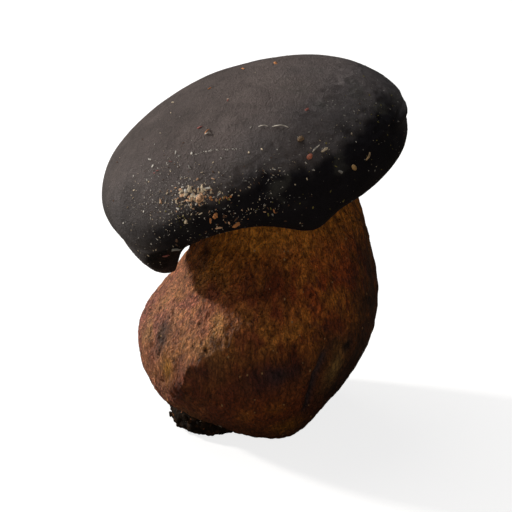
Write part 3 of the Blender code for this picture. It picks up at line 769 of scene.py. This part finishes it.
# Painted shade: the clod goes nearly black in the crevices between its crumbs.
soil_colour = blend(soil_colour, (0.004, 0.003, 0.002), step_up(small_gap, 0.45, 0.85))
paint(soil, "soil_colour", soil_colour.reshape(-1, 3))

# %% [markdown]
# ## Crumbs and grains
# Hundreds of grains cling to the skin. Each is the same rough pebble with a few dozen faces, but
# turned, stretched and dented by its own random numbers. All of them are worked out in one go, as an
# array of pebbles by points, and become one mesh. A patch of grains is named by its middle on the
# cap, its spread, how many there are and how big, and the palette it draws from.

# %% Helper: a cloud of pebbles
PEBBLE_COLUMNS, PEBBLE_ROWS = 6, 3


def pebble():
    """A unit ball of a few rings: its points and its faces."""
    ball = ball_points(PEBBLE_COLUMNS, np.linspace(0.0, np.pi, PEBBLE_ROWS + 2)[1:-1])
    points = np.vstack([ball.reshape(-1, 3), (0.0, 0.0, 1.0), (0.0, 0.0, -1.0)])
    faces = []
    for j in range(PEBBLE_COLUMNS):
        k = (j + 1) % PEBBLE_COLUMNS
        last = (PEBBLE_ROWS - 1) * PEBBLE_COLUMNS
        faces.append((j, k, len(points) - 2))
        faces.append((last + k, last + j, len(points) - 1))
        for i in range(PEBBLE_ROWS - 1):
            low, high = i * PEBBLE_COLUMNS, (i + 1) * PEBBLE_COLUMNS
            faces.append((low + k, low + j, high + j))
            faces.append((low + k, high + j, high + k))
    return points, np.array(faces)


def pebble_cloud(name, middles, normals, sizes, colours, seed, flatness=0.6):
    """One mesh of pebbles: point = middle + frame (unit point x own proportions x size)."""
    rng = np.random.default_rng(seed)
    unit, faces = pebble()
    count = len(middles)
    spin = rng.normal(size=(count, 3))
    first = np.cross(normals, spin)
    first /= np.linalg.norm(first, axis=1, keepdims=True)
    frames = np.stack([first, np.cross(normals, first), normals], 1)
    shape = np.stack([rng.uniform(0.9, 2.1, count), rng.uniform(0.40, 0.95, count),
                      flatness * rng.uniform(0.5, 1.1, count)], -1)
    dents = rng.uniform(0.55, 1.15, (count, len(unit), 1))
    local = unit * dents * shape[:, None, :] * (0.5 * sizes)[:, None, None]
    points = middles[:, None, :] + np.einsum("npk,nkx->npx", local, frames)
    every = (faces[None] + (np.arange(count) * len(unit))[:, None, None]).reshape(-1, 3)
    mesh = bpy.data.meshes.new(name)
    mesh.from_pydata(points.reshape(-1, 3), [], every.tolist())
    made = put(name, mesh)
    tones = np.repeat(colours, len(unit), axis=0) * rng.uniform(0.8, 1.15, (count * len(unit), 1))
    paint(made, "grain_colour", np.clip(tones, 0.0, 1.0))
    print(f"{name}: {count} pebbles, {len(every)} triangles")
    return made


def on_cap(angle, travel):
    """Point and outward normal of the worked cap skin, from small steps along it."""
    point = cap_skin(angle, travel)
    down = cap_skin(angle, travel + 0.004) - cap_skin(angle, travel - 0.004)
    round_way = cap_skin(angle + 0.4, travel) - cap_skin(angle - 0.4, travel)
    normal = np.cross(down, round_way)
    normal /= np.linalg.norm(normal, axis=-1, keepdims=True)
    return point + normal * cap_relief(point, angle, travel)[..., None], normal


# %% Palettes, patches and single grains
CREAM, PEACH, GREY, ORANGE = (0.86, 0.72, 0.52), (0.90, 0.56, 0.34), (0.38, 0.37, 0.34), (0.72, 0.30, 0.11)
MOSS, ROSE, BARK, WHITE = (0.25, 0.22, 0.06), (0.38, 0.13, 0.11), (0.14, 0.075, 0.045), (0.75, 0.72, 0.66)
CAP_PATCHES = (
    # angle, travel, spread of each, how many, smallest, largest, palette
    (256.5, 0.755, 5.5, 0.050, 120, 0.0003, 0.0014, (PEACH, CREAM, CREAM, WHITE)),
    (254.5, 0.745, 3.0, 0.026, 24, 0.0008, 0.0018, (PEACH, CREAM, CREAM)),
    (265.5, 0.810, 1.8, 0.014, 18, 0.0004, 0.0013, (MOSS, CREAM, ORANGE)),
    (275.0, 0.930, 6.0, 0.035, 60, 0.0002, 0.0006, (WHITE, GREY, CREAM)),
    (262.0, 0.930, 5.5, 0.050, 26, 0.0004, 0.0016, (ORANGE, PEACH, BARK)),
    (247.5, 0.850, 3.0, 0.035, 24, 0.0003, 0.0012, (MOSS, CREAM, MOSS)),
    (246.0, 0.505, 5.0, 0.030, 22, 0.0003, 0.0010, (ROSE, WHITE, GREY)),
    (246.5, 0.720, 12.0, 0.150, 560, 0.00018, 0.0006, (CREAM, GREY, WHITE, WHITE, BARK)),
    (262.0, 1.150, 20.0, 0.220, 32, 0.00018, 0.0008, (GREY, CREAM, MOSS, BARK)),
    (282.0, 0.795, 6.0, 0.035, 60, 0.0002, 0.0007, (WHITE, GREY, CREAM, BARK)),
    (300.0, 0.830, 12.0, 0.080, 70, 0.0002, 0.0007, (WHITE, CREAM, GREY, MOSS)),
    (336.0, 0.820, 10.0, 0.090, 90, 0.0002, 0.0007, (GREY, MOSS, GREY)),
    (305.0, 1.300, 22.0, 0.250, 35, 0.0002, 0.0007, (GREY, MOSS, CREAM)),
    (282.0, 1.040, 8.0, 0.060, 20, 0.0002, 0.0008, (GREY, WHITE, BARK, MOSS)),
    (215.0, 1.250, 25.0, 0.300, 50, 0.0002, 0.0008, (GREY, CREAM, GREY)),
)
SINGLE_GRAINS = (
    # angle, travel, size, colour
    (321.0, 0.115, 0.0013, ORANGE), (17.0, 0.225, 0.0015, ORANGE), (8.0, 0.350, 0.0011, ORANGE),
    (5.0, 0.350, 0.0009, ORANGE), (202.5, 0.085, 0.0013, CREAM), (235.5, 0.160, 0.0008, CREAM),
    (262.0, 0.500, 0.0014, WHITE), (259.0, 0.575, 0.0012, GREY), (271.5, 0.360, 0.0011, ROSE),
    (302.5, 0.290, 0.0007, ROSE), (237.0, 0.450, 0.0011, WHITE), (236.5, 0.565, 0.0011, WHITE),
    (286.5, 0.790, 0.0009, WHITE), (297.0, 0.850, 0.0010, WHITE), (304.0, 1.025, 0.0014, GREY),
    (235.5, 1.275, 0.0022, GREY), (305.5, 0.850, 0.0017, CREAM), (284.0, 0.640, 0.0013, CREAM),
    (318.0, 0.620, 0.0011, ROSE), (289.0, 0.660, 0.0009, CREAM), (228.0, 1.420, 0.0013, ROSE),
    (240.0, 0.980, 0.0012, BARK), (275.0, 1.080, 0.0012, GREY), (262.5, 1.010, 0.0019, ORANGE),
)
print(len(CAP_PATCHES), "patches,", len(SINGLE_GRAINS), "single grains")

# %% Grains strewn over the cap
rng = np.random.default_rng(61)
grain_angles, grain_travels, grain_sizes, grain_tints = [], [], [], []
for angle, travel, wide, tall, count, small, large, palette in CAP_PATCHES:
    grain_angles.append(rng.normal(angle, wide, count))
    grain_travels.append(np.clip(rng.normal(travel, tall, count), 0.05, 1.95))
    grain_sizes.append(small + (large - small) * rng.uniform(0.0, 1.0, count) ** 2.5)
    grain_tints.append(np.array(palette)[rng.integers(0, len(palette), count)])
SCRATCH_GRAINS, STRAY_GRAINS = 46, 230
scratch = rng.uniform(0.0, 1.0, SCRATCH_GRAINS)
grain_angles += [261.5 + 22.0 * scratch, rng.uniform(0.0, 360.0, STRAY_GRAINS)]
grain_travels += [0.508 + 0.102 * scratch ** 2 + rng.normal(0.0, 0.004, SCRATCH_GRAINS),
                  np.sqrt(rng.uniform(0.02, 2.6, STRAY_GRAINS))]
grain_sizes += [rng.uniform(0.0002, 0.0004, SCRATCH_GRAINS),
                0.0002 + 0.0006 * rng.uniform(0.0, 1.0, STRAY_GRAINS) ** 3]
grain_tints += [np.tile(WHITE, (SCRATCH_GRAINS, 1)),
                np.array((GREY, CREAM, BARK))[rng.integers(0, 3, STRAY_GRAINS)]]
singles = np.array([(a, t, size, *tint) for a, t, size, tint in SINGLE_GRAINS])
grain_angles = np.concatenate(grain_angles + [singles[:, 0]])
grain_travels = np.concatenate(grain_travels + [singles[:, 1]])
grain_sizes = np.concatenate(grain_sizes + [singles[:, 2]])
grain_tints = np.concatenate(grain_tints + [singles[:, 3:]])
grain_points, grain_normals = on_cap(grain_angles, grain_travels)
grain_points = grain_points + grain_normals * (0.12 * grain_sizes)[:, None]
grains = pebble_cloud("grains_on_cap", grain_points, grain_normals, grain_sizes, grain_tints, 62)
settle(grains, "tan_crumb")

# %% [markdown]
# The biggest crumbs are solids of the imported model, so each gets a finer body of its own: a ball
# whose surface is broken into facets by the seeds, seated on the cap at the same angle and travel.

# %% The big crumbs and seeds
CRUMB_COLUMNS, CRUMB_ROWS, CRUMB_SEAT = 40, 22, 0.36


def crumb(name, slot, node, angle, travel, spin, size, tint, seed, smooth):
    """A ball with facets: radius = 1 + (1 - smooth) (0.42 (0.5 - distance to the nearest seed)
    + 0.10 lumps), stretched to its size and lifted off the skin by 0.36 of its thickness."""
    ball = ball_points(CRUMB_COLUMNS, np.linspace(0.12, np.pi - 0.12, CRUMB_ROWS))
    gap, _ = nearest_cell(ball + seed, 0.9, seed)
    rough = (1.0 - smooth) * (0.42 * (0.5 - gap) + 0.10 * lumps(ball + seed, 0.35, seed, 2))
    ball = ball * (1.0 + rough)[..., None] * 0.5 * np.array(size)
    middle, normal = on_cap(np.array(angle), np.array(travel))
    first = np.cross(normal, CAP_BACK)
    first /= np.linalg.norm(first)
    second = np.cross(normal, first)
    twist = math.radians(spin)
    long_way = math.cos(twist) * first + math.sin(twist) * second
    frame_rows = np.stack([long_way, np.cross(normal, long_way), normal])
    seat = middle + normal * CRUMB_SEAT * size[2]
    points = seat + ball @ frame_rows
    poles = seat + np.outer((0.5 * size[2], -0.5 * size[2]), normal)
    made = skin(name, points, poles[0], poles[1])
    # Painted shade: the crumb goes darker in the creases between its facets, then varies at random.
    shade = blend(np.array(tint), np.array(tint) * 0.35, 0.9 * (1.0 - smooth) * step_up(gap, 0.35, 0.8))
    shade = shade * (1.0 + 0.25 * lumps(ball, 0.0007, seed + 1, 2))[..., None]
    paint(made, "grain_colour", np.clip(shade, 0.0, 1.0).reshape(-1, 3))
    settle(made, slot, node)
    return made


SEED_SIZE = (0.0022, 0.0015, 0.0013)
BIG_CRUMBS = (
    # name, slot, node, angle, travel, spin, size, tint, seed, smoothness
    ("peach_crumb_large", "tan_crumb", "tan_crumb_large",
     258.0, 0.775, 25, (0.0029, 0.0021, 0.0017), PEACH, 3, 0.0),
    ("peach_crumb_small", "tan_crumb", "tan_crumb_small",
     256.0, 0.705, 70, (0.0019, 0.0014, 0.0012), CREAM, 5, 0.0),
    ("orange_crumb_low", "tan_crumb", "tan_crumb_low",
     259.0, 0.905, 10, (0.0020, 0.0014, 0.0011), ORANGE, 8, 0.0),
    ("bark_crumb", "brown_crumb", "brown_crumb",
     303.0, 0.730, 40, (0.0024, 0.0017, 0.0014), (0.26, 0.17, 0.10), 11, 0.0),
    ("round_seed", "seed_husk", "seed_left", 299.5, 0.835, 60, SEED_SIZE, (0.62, 0.20, 0.12), 13, 0.8),
    ("tan_seed", "seed_husk", "seed_right", 309.5, 1.085, 20, SEED_SIZE, (0.48, 0.30, 0.12), 17, 0.85),
)
crumbs = [crumb(*row) for row in BIG_CRUMBS]

# %% [markdown]
# Needles and straw are thin bodies carried along a line on the skin: a flattened round section,
# narrower at both ends, that arches off the surface in the middle.

# %% Needles and straw
def strand(name, path, width, thick, tint, *nodes):
    """A tube: each ring = path point + cos(a) width side + sin(a) thick normal, tapered at the ends."""
    points, normals = path
    along = np.gradient(points, axis=0)
    along /= np.linalg.norm(along, axis=1, keepdims=True)
    side_way = np.cross(normals, along)
    side_way /= np.linalg.norm(side_way, axis=1, keepdims=True)
    rise = np.cross(along, side_way)
    share = np.linspace(0.0, 1.0, len(points))
    taper = (0.30 + 0.70 * np.sqrt(np.sin(np.pi * np.clip(share, 0.02, 0.98))))[:, None, None]
    turn = np.linspace(0.0, 2.0 * np.pi, 10, endpoint=False)[None, :, None]
    ring = np.cos(turn) * side_way[:, None] * width + np.sin(turn) * rise[:, None] * thick
    rows = points[:, None] + 0.5 * taper * ring
    made = skin(name, rows, points[0], points[-1])
    tone = np.broadcast_to(np.array(tint) * (0.75 + 0.25 * np.sin(9.0 * share))[:, None, None], rows.shape)
    paint(made, "grain_colour", tone.reshape(-1, 3))
    settle(made, "dry_straw", *nodes)
    return made


def cap_path(start, end, arch, wiggle):
    """Points and normals from one (angle, travel) to another, lifted by arch in the middle."""
    share = np.linspace(0.0, 1.0, 24)
    bow = wiggle * np.sin(np.pi * share)
    point, normal = on_cap(start[0] + (end[0] - start[0]) * share + bow,
                           start[1] + (end[1] - start[1]) * share)
    lift = 0.00022 + arch * np.sin(np.pi * share)
    return point + normal * lift[:, None], normal


STRAW, PALE = (0.66, 0.46, 0.25), (0.88, 0.82, 0.72)
STRANDS = (
    # name, start, end, arch, wiggle, width, thickness, tint, node it replaces, if any
    ("needle_bit_upper", (300.2, 0.588), (304.3, 0.640), 0.0005, 0.6, 0.00042, 0.00034, PALE,
     "needle_upper"),
    ("needle_bit_lower", (301.8, 0.822), (306.2, 0.812), 0.0004, -0.5, 0.00050, 0.00040, PALE,
     "needle_lower"),
    ("straw_bit", (318.9, 1.065), (315.8, 1.118), 0.0003, 0.4, 0.00090, 0.00035, STRAW, "straw_flake"),
    ("forked_bit_a", (272.4, 0.418), (276.2, 0.402), 0.0003, 0.0, 0.00050, 0.00035, ORANGE),
    ("forked_bit_b", (272.4, 0.421), (275.6, 0.430), 0.0004, 0.0, 0.00040, 0.00035, PALE),
    ("hair_bit", (296.0, 0.545), (299.0, 0.575), 0.0004, 0.5, 0.0003, 0.0002, PALE),
)
strands = [strand(name, cap_path(start, end, arch, wiggle), *rest)
           for name, start, end, arch, wiggle, *rest in STRANDS]

# %% [markdown]
# ## Loose soil
# Smaller crumbs cling round the clod and break up its outline. Most are dark humus; one in twenty is a
# pale bit of root.

# %% Loose crumbs round the clod
rng = np.random.default_rng(71)
LOOSE_CRUMBS = 150
loose_way = rng.normal(size=(LOOSE_CRUMBS, 3))
loose_way /= np.linalg.norm(loose_way, axis=1, keepdims=True)
loose_way[:, 2] = np.abs(loose_way[:, 2]) * 0.8
loose = CLOD_CENTRE + loose_way * CLOD_SIZE * rng.uniform(0.97, 1.10, (LOOSE_CRUMBS, 1))
loose_size = 0.0005 + 0.0021 * rng.uniform(0.0, 1.0, LOOSE_CRUMBS) ** 2
loose[:, 2] = np.maximum(loose[:, 2], 0.5 * loose_size)
loose_tint = np.array(((0.020, 0.011, 0.006), (0.045, 0.024, 0.012),
                       (0.19, 0.075, 0.022), (0.45, 0.40, 0.32)))
loose_pick = rng.choice(4, LOOSE_CRUMBS, p=(0.52, 0.34, 0.09, 0.05))
loose_soil = pebble_cloud("loose_soil", loose, loose_way, loose_size, loose_tint[loose_pick], 72, 0.9)
settle(loose_soil, "dark_soil")

# %% [markdown]
# ## Effects shared by the materials
# Three effects serve every surface here: a grain that varies the colour and raises the skin, a
# crackle of small cells with sunk, darker edges, and flecks of another colour. In the grain and the
# crackle the colour is darker in the low parts and the sunk edges and lighter on the raised ones, which
# is partly painted light and shade over random tone. Each is a group with named sockets, built once.
# All of them read Object coordinates in metres, so they have a real size: the skin's down is a few
# tenths of a millimetre, whatever the piece.

# %% Helpers: shader nodes and groups
def add_node(tree, kind, inputs=None, **settings):
    """Adds a node; an input is either joined to a socket or given a plain value."""
    made = tree.nodes.new("ShaderNode" + kind)
    for key, value in settings.items():
        setattr(made, key, value)
    for key, value in (inputs or {}).items():
        if isinstance(value, bpy.types.NodeSocket):
            tree.links.new(value, made.inputs[key])
        else:
            made.inputs[key].default_value = value
    return made


def shader_group(name, inputs, outputs):
    """An empty group, with sockets going in (name, kind, value) and coming out (name, kind)."""
    tree = bpy.data.node_groups.new(name, "ShaderNodeTree")
    for title, kind, value in inputs:
        tree.interface.new_socket(title, in_out="INPUT", socket_type=kind).default_value = value
    for title, kind in outputs:
        tree.interface.new_socket(title, in_out="OUTPUT", socket_type=kind)
    return tree, tree.nodes.new("NodeGroupInput").outputs, tree.nodes.new("NodeGroupOutput").inputs


def sized_place(tree, take):
    """Object coordinates divided by the size, and along the height by the stretch as well."""
    where = add_node(tree, "TexCoord").outputs["Object"]
    scale = add_node(tree, "Math", {0: 1.0, 1: take["Size"]}, operation="DIVIDE").outputs[0]
    rise = add_node(tree, "Math", {0: scale, 1: take["Stretch"]}, operation="DIVIDE").outputs[0]
    factors = add_node(tree, "CombineXYZ", {"X": scale, "Y": scale, "Z": rise}).outputs[0]
    return add_node(tree, "VectorMath", {0: where, 1: factors}, operation="MULTIPLY").outputs[0]


def tint(tree, take, give, swing, height):
    """Colour out = colour in x (1 + swing x contrast); the height goes out beside it."""
    gain = add_node(tree, "Math", {0: swing, 1: take["Contrast"], 2: 1.0}, operation="MULTIPLY_ADD")
    tinted = add_node(tree, "VectorMath", {0: take["Color"], 1: gain.outputs[0]}, operation="MULTIPLY")
    tree.links.new(tinted.outputs[0], give["Color"])
    tree.links.new(height, give["Height"])


FLOAT, COLOUR = "NodeSocketFloat", "NodeSocketColor"
GREY_HALF = (0.5, 0.5, 0.5, 1.0)
SKIN_INPUTS = (("Color", COLOUR, GREY_HALF), ("Size", FLOAT, 0.001), ("Stretch", FLOAT, 1.0),
               ("Contrast", FLOAT, 0.3))
SKIN_OUTPUTS = (("Color", COLOUR), ("Height", FLOAT))

# %% Shader group: grain
grain, take, give = shader_group("grain", SKIN_INPUTS, SKIN_OUTPUTS)
noise = add_node(grain, "TexNoise", {"Vector": sized_place(grain, take), "Scale": 1.0, "Detail": 4.0,
                                     "Roughness": 0.62, "Distortion": 0.8})
height = add_node(grain, "MapRange", {0: noise.outputs[0], 1: 0.30, 2: 0.70}).outputs[0]
# Partly painted light and shade: the colour swings with the height, darker in the low parts and lighter on
# the raised ones, over random tone.
swing = add_node(grain, "MapRange", {0: height, 3: -1.0, 4: 1.0}).outputs[0]
tint(grain, take, give, swing, height)

# %% [markdown]
# The dry skin of the cap and the stem breaks into small cells. A Voronoi texture gives the distance to
# the nearest cell edge; the place is first bent by noise, so that no edge is straight. One value then
# serves both the darker line and the sunk groove; the darker line is partly the skin's own dark lines
# and partly painted shade in the groove.

# %% Shader group: crackle
crackle, take, give = shader_group("crackle", SKIN_INPUTS, SKIN_OUTPUTS)
place = sized_place(crackle, take)
wobble = add_node(crackle, "TexNoise", {"Vector": place, "Scale": 0.7, "Detail": 2.0}).outputs["Color"]
bent = add_node(crackle, "VectorMath", {0: wobble, 1: (2.0, 2.0, 2.0), 2: place}, operation="MULTIPLY_ADD")
cells = add_node(crackle, "TexVoronoi", {"Vector": bent.outputs[0], "Scale": 1.0},
                 feature="DISTANCE_TO_EDGE")
height = add_node(crackle, "MapRange", {0: cells.outputs["Distance"], 1: 0.02, 2: 0.28}).outputs[0]
# Partly painted shade: the colour is darker towards the sunk cell edges, over the skin's own dark lines.
swing = add_node(crackle, "Math", {0: height, 1: 0.6}, operation="SUBTRACT").outputs[0]
tint(crackle, take, give, swing, height)

# %% [markdown]
# Dust and torn bits show as flecks. Every cell of a scattered crowd draws two random numbers: the first
# decides whether it has a fleck at all, by the share, and the second how far the fleck reaches.

# %% Shader group: flecks
flecks, take, give = shader_group(
    "flecks",
    (("Color", COLOUR, GREY_HALF), ("Fleck Color", COLOUR, GREY_HALF), ("Size", FLOAT, 0.001),
     ("Share", FLOAT, 0.1), ("Stretch", FLOAT, 1.0)),
    (("Color", COLOUR), ("Mask", FLOAT)))
cells = add_node(flecks, "TexVoronoi", {"Vector": sized_place(flecks, take), "Scale": 1.0})
luck = add_node(flecks, "SeparateColor", {0: cells.outputs["Color"]})
chosen = add_node(flecks, "Math", {0: luck.outputs[0], 1: take["Share"]}, operation="LESS_THAN").outputs[0]
reach = add_node(flecks, "MapRange", {0: luck.outputs[1], 3: 0.12, 4: 0.34}).outputs[0]
inside = add_node(flecks, "Math", {0: reach, 1: cells.outputs["Distance"]}, operation="SUBTRACT").outputs[0]
soft = add_node(flecks, "MapRange", {0: inside, 1: 0.0, 2: 0.08}).outputs[0]
mask = add_node(flecks, "Math", {0: chosen, 1: soft}, operation="MULTIPLY").outputs[0]
flecked = add_node(flecks, "Mix", {0: mask, 6: take["Color"], 7: take["Fleck Color"]}, data_type="RGBA")
flecks.links.new(flecked.outputs[2], give["Color"])
flecks.links.new(mask, give["Mask"])
print("shader groups:", [group.name for group in bpy.data.node_groups])

# %% [markdown]
# ## Materials
# A finish starts from the colours stored on its mesh. Coarse grain, fine grain, cracks on the cap and
# the stem, and flecks vary them; grains and cracks raise a bump, and the fine grain opens the
# roughness. What differs between velvet skin, torn fibres, wet soil and dry straw is the size, the
# stretch and the strength of each.

# %% Helper: one finish
def finish(name, stored, coarse, fine, fleck, roughness, specular, *cracks):
    """Stored colour -> coarse grain -> fine grain -> cracks, if any -> flecks -> base colour.
    coarse, fine and cracks are (size, stretch, contrast, height in metres), fleck is (colour, size,
    share, stretch), and roughness is (where the fine grain is low, where it's high)."""
    made = bpy.data.materials.new(name)
    made.use_nodes = True
    tree = made.node_tree
    shader = tree.nodes["Principled BSDF"]
    colour = add_node(tree, "Attribute", attribute_name=stored).outputs["Color"]
    heights, slopes = [], []
    for group, (size, stretch, contrast, rise) in zip((grain, grain, crackle), (coarse, fine, *cracks)):
        layer = add_node(tree, "Group", node_tree=group)
        for key, value in (("Size", size), ("Stretch", stretch), ("Contrast", contrast)):
            layer.inputs[key].default_value = value
        tree.links.new(colour, layer.inputs["Color"])
        colour = layer.outputs["Color"]
        heights.append(layer.outputs["Height"])
        below = {"Normal": slopes[-1]} if slopes else {}
        bump = add_node(tree, "Bump", {"Height": heights[-1], "Distance": rise, **below})
        slopes.append(bump.outputs[0])
    layer = add_node(tree, "Group", node_tree=flecks)
    for key, value in zip(("Fleck Color", "Size", "Share", "Stretch"), ((*fleck[0], 1.0), *fleck[1:])):
        layer.inputs[key].default_value = value
    tree.links.new(colour, layer.inputs["Color"])
    tree.links.new(layer.outputs["Color"], shader.inputs["Base Color"])
    rough = add_node(tree, "MapRange", {0: heights[1], 3: roughness[0], 4: roughness[1]})
    tree.links.new(rough.outputs[0], shader.inputs["Roughness"])
    tree.links.new(slopes[-1], shader.inputs["Normal"])
    shader.inputs["Specular IOR Level"].default_value = specular
    return made


# %% Every finish
FINISHES = (
    # pieces, then name, stored colour, coarse, fine, fleck, roughness, specular, cracks if any
    ([cap], "velvet_cap_skin", "skin_colour", (0.0030, 1.0, 0.16, 0.0002), (0.00045, 1.0, 0.30, 0.00012),
     ((0.16, 0.14, 0.12), 0.0011, 0.03, 1.0), (0.68, 0.90), 0.15, (0.0011, 1.0, 0.12, 0.00008)),
    ([tubes], "pore_mouths", "pore_colour", (0.0040, 1.0, 0.20, 0.0001), (0.00030, 1.0, 0.25, 0.00005),
     ((0.10, 0.04, 0.01), 0.0020, 0.05, 1.0), (0.55, 0.75), 0.4),
    ([stem], "fibrous_stem_skin", "skin_colour", (0.0014, 2.6, 0.62, 0.0010), (0.00055, 1.8, 0.62, 0.00030),
     ((0.62, 0.36, 0.16), 0.0012, 0.07, 1.5), (0.60, 0.80), 0.3, (0.0015, 2.4, 0.38, 0.00032)),
    ([soil], "damp_soil", "soil_colour", (0.0010, 1.0, 0.60, 0.0003), (0.00025, 1.0, 0.50, 0.0001),
     ((0.34, 0.12, 0.05), 0.0011, 0.10, 1.0), (0.70, 0.90), 0.12),
    ([grains, *crumbs[:4]], "dry_crumb", "grain_colour", (0.0006, 1.0, 0.25, 0.0001),
     (0.00015, 1.0, 0.25, 0.00004), ((0.20, 0.11, 0.06), 0.0004, 0.10, 1.0), (0.70, 0.90), 0.3),
    (strands, "dry_straw", "grain_colour", (0.0008, 1.0, 0.25, 0.00008), (0.00015, 1.0, 0.20, 0.00003),
     ((0.20, 0.12, 0.06), 0.0005, 0.08, 1.0), (0.50, 0.70), 0.5),
    (crumbs[4:], "seed_husk", "grain_colour", (0.0008, 1.0, 0.15, 0.00004), (0.00015, 1.0, 0.12, 0.00002),
     ((0.10, 0.04, 0.03), 0.0005, 0.06, 1.0), (0.30, 0.45), 0.5),
    ([loose_soil], "loose_damp_soil", "grain_colour", (0.0010, 1.0, 0.50, 0.0003),
     (0.00025, 1.0, 0.45, 0.0001), ((0.40, 0.33, 0.22), 0.0009, 0.03, 1.0), (0.70, 0.90), 0.12),
)
for pieces, *settings in FINISHES:
    made_finish = finish(*settings)
    for piece in pieces:
        piece.data.materials.append(made_finish)
print("finishes:", sorted(item.name for item in bpy.data.materials if item.users))

# %% [markdown]
# ## Floor
# A plain pale floor, far wider than the view. It is nearly white where the camera looks at it, and
# returns little light to the mushroom, as a floor does in a dark studio, so the shaded side stays deep.

# %% Floor
FLOOR_HALF, FLOOR_HEIGHT = 6.0, -0.0003
FLOOR_GREY, FLOOR_GLOW, FLOOR_DIM = 0.45, 0.80, (0.22, 0.18, 0.14, 1.0)
corners = ((-FLOOR_HALF, -FLOOR_HALF), (FLOOR_HALF, -FLOOR_HALF),
           (FLOOR_HALF, FLOOR_HALF), (-FLOOR_HALF, FLOOR_HALF))
floor_mesh = bpy.data.meshes.new("floor")
floor_mesh.from_pydata([(x, y, FLOOR_HEIGHT) for x, y in corners], [], [(0, 1, 2, 3)])
floor = put("floor", floor_mesh)
paper = bpy.data.materials.new("pale_paper")
paper.use_nodes = True
tree = paper.node_tree
tree.nodes.remove(tree.nodes["Principled BSDF"])
dim = add_node(tree, "BsdfDiffuse", {"Color": FLOOR_DIM})
pale = add_node(tree, "BsdfDiffuse", {"Color": (FLOOR_GREY, FLOOR_GREY, FLOOR_GREY, 1.0)})
glow = add_node(tree, "Emission", {"Color": (1.0, 1.0, 1.0, 1.0), "Strength": FLOOR_GLOW})
bright = add_node(tree, "AddShader", {0: pale.outputs[0], 1: glow.outputs[0]})
seen = add_node(tree, "LightPath").outputs["Is Camera Ray"]
mixed = add_node(tree, "MixShader", {0: seen, 1: dim.outputs[0], 2: bright.outputs[0]})
tree.links.new(mixed.outputs[0], tree.nodes["Material Output"].inputs["Surface"])
floor_mesh.materials.append(paper)

# %% [markdown]
# ## The sizes, and the end
# The finished mushroom must still fill the plain model's box, which is printed here.

# %% Print the plain box
print("plain box ", np.round(cad_box, 4).tolist())
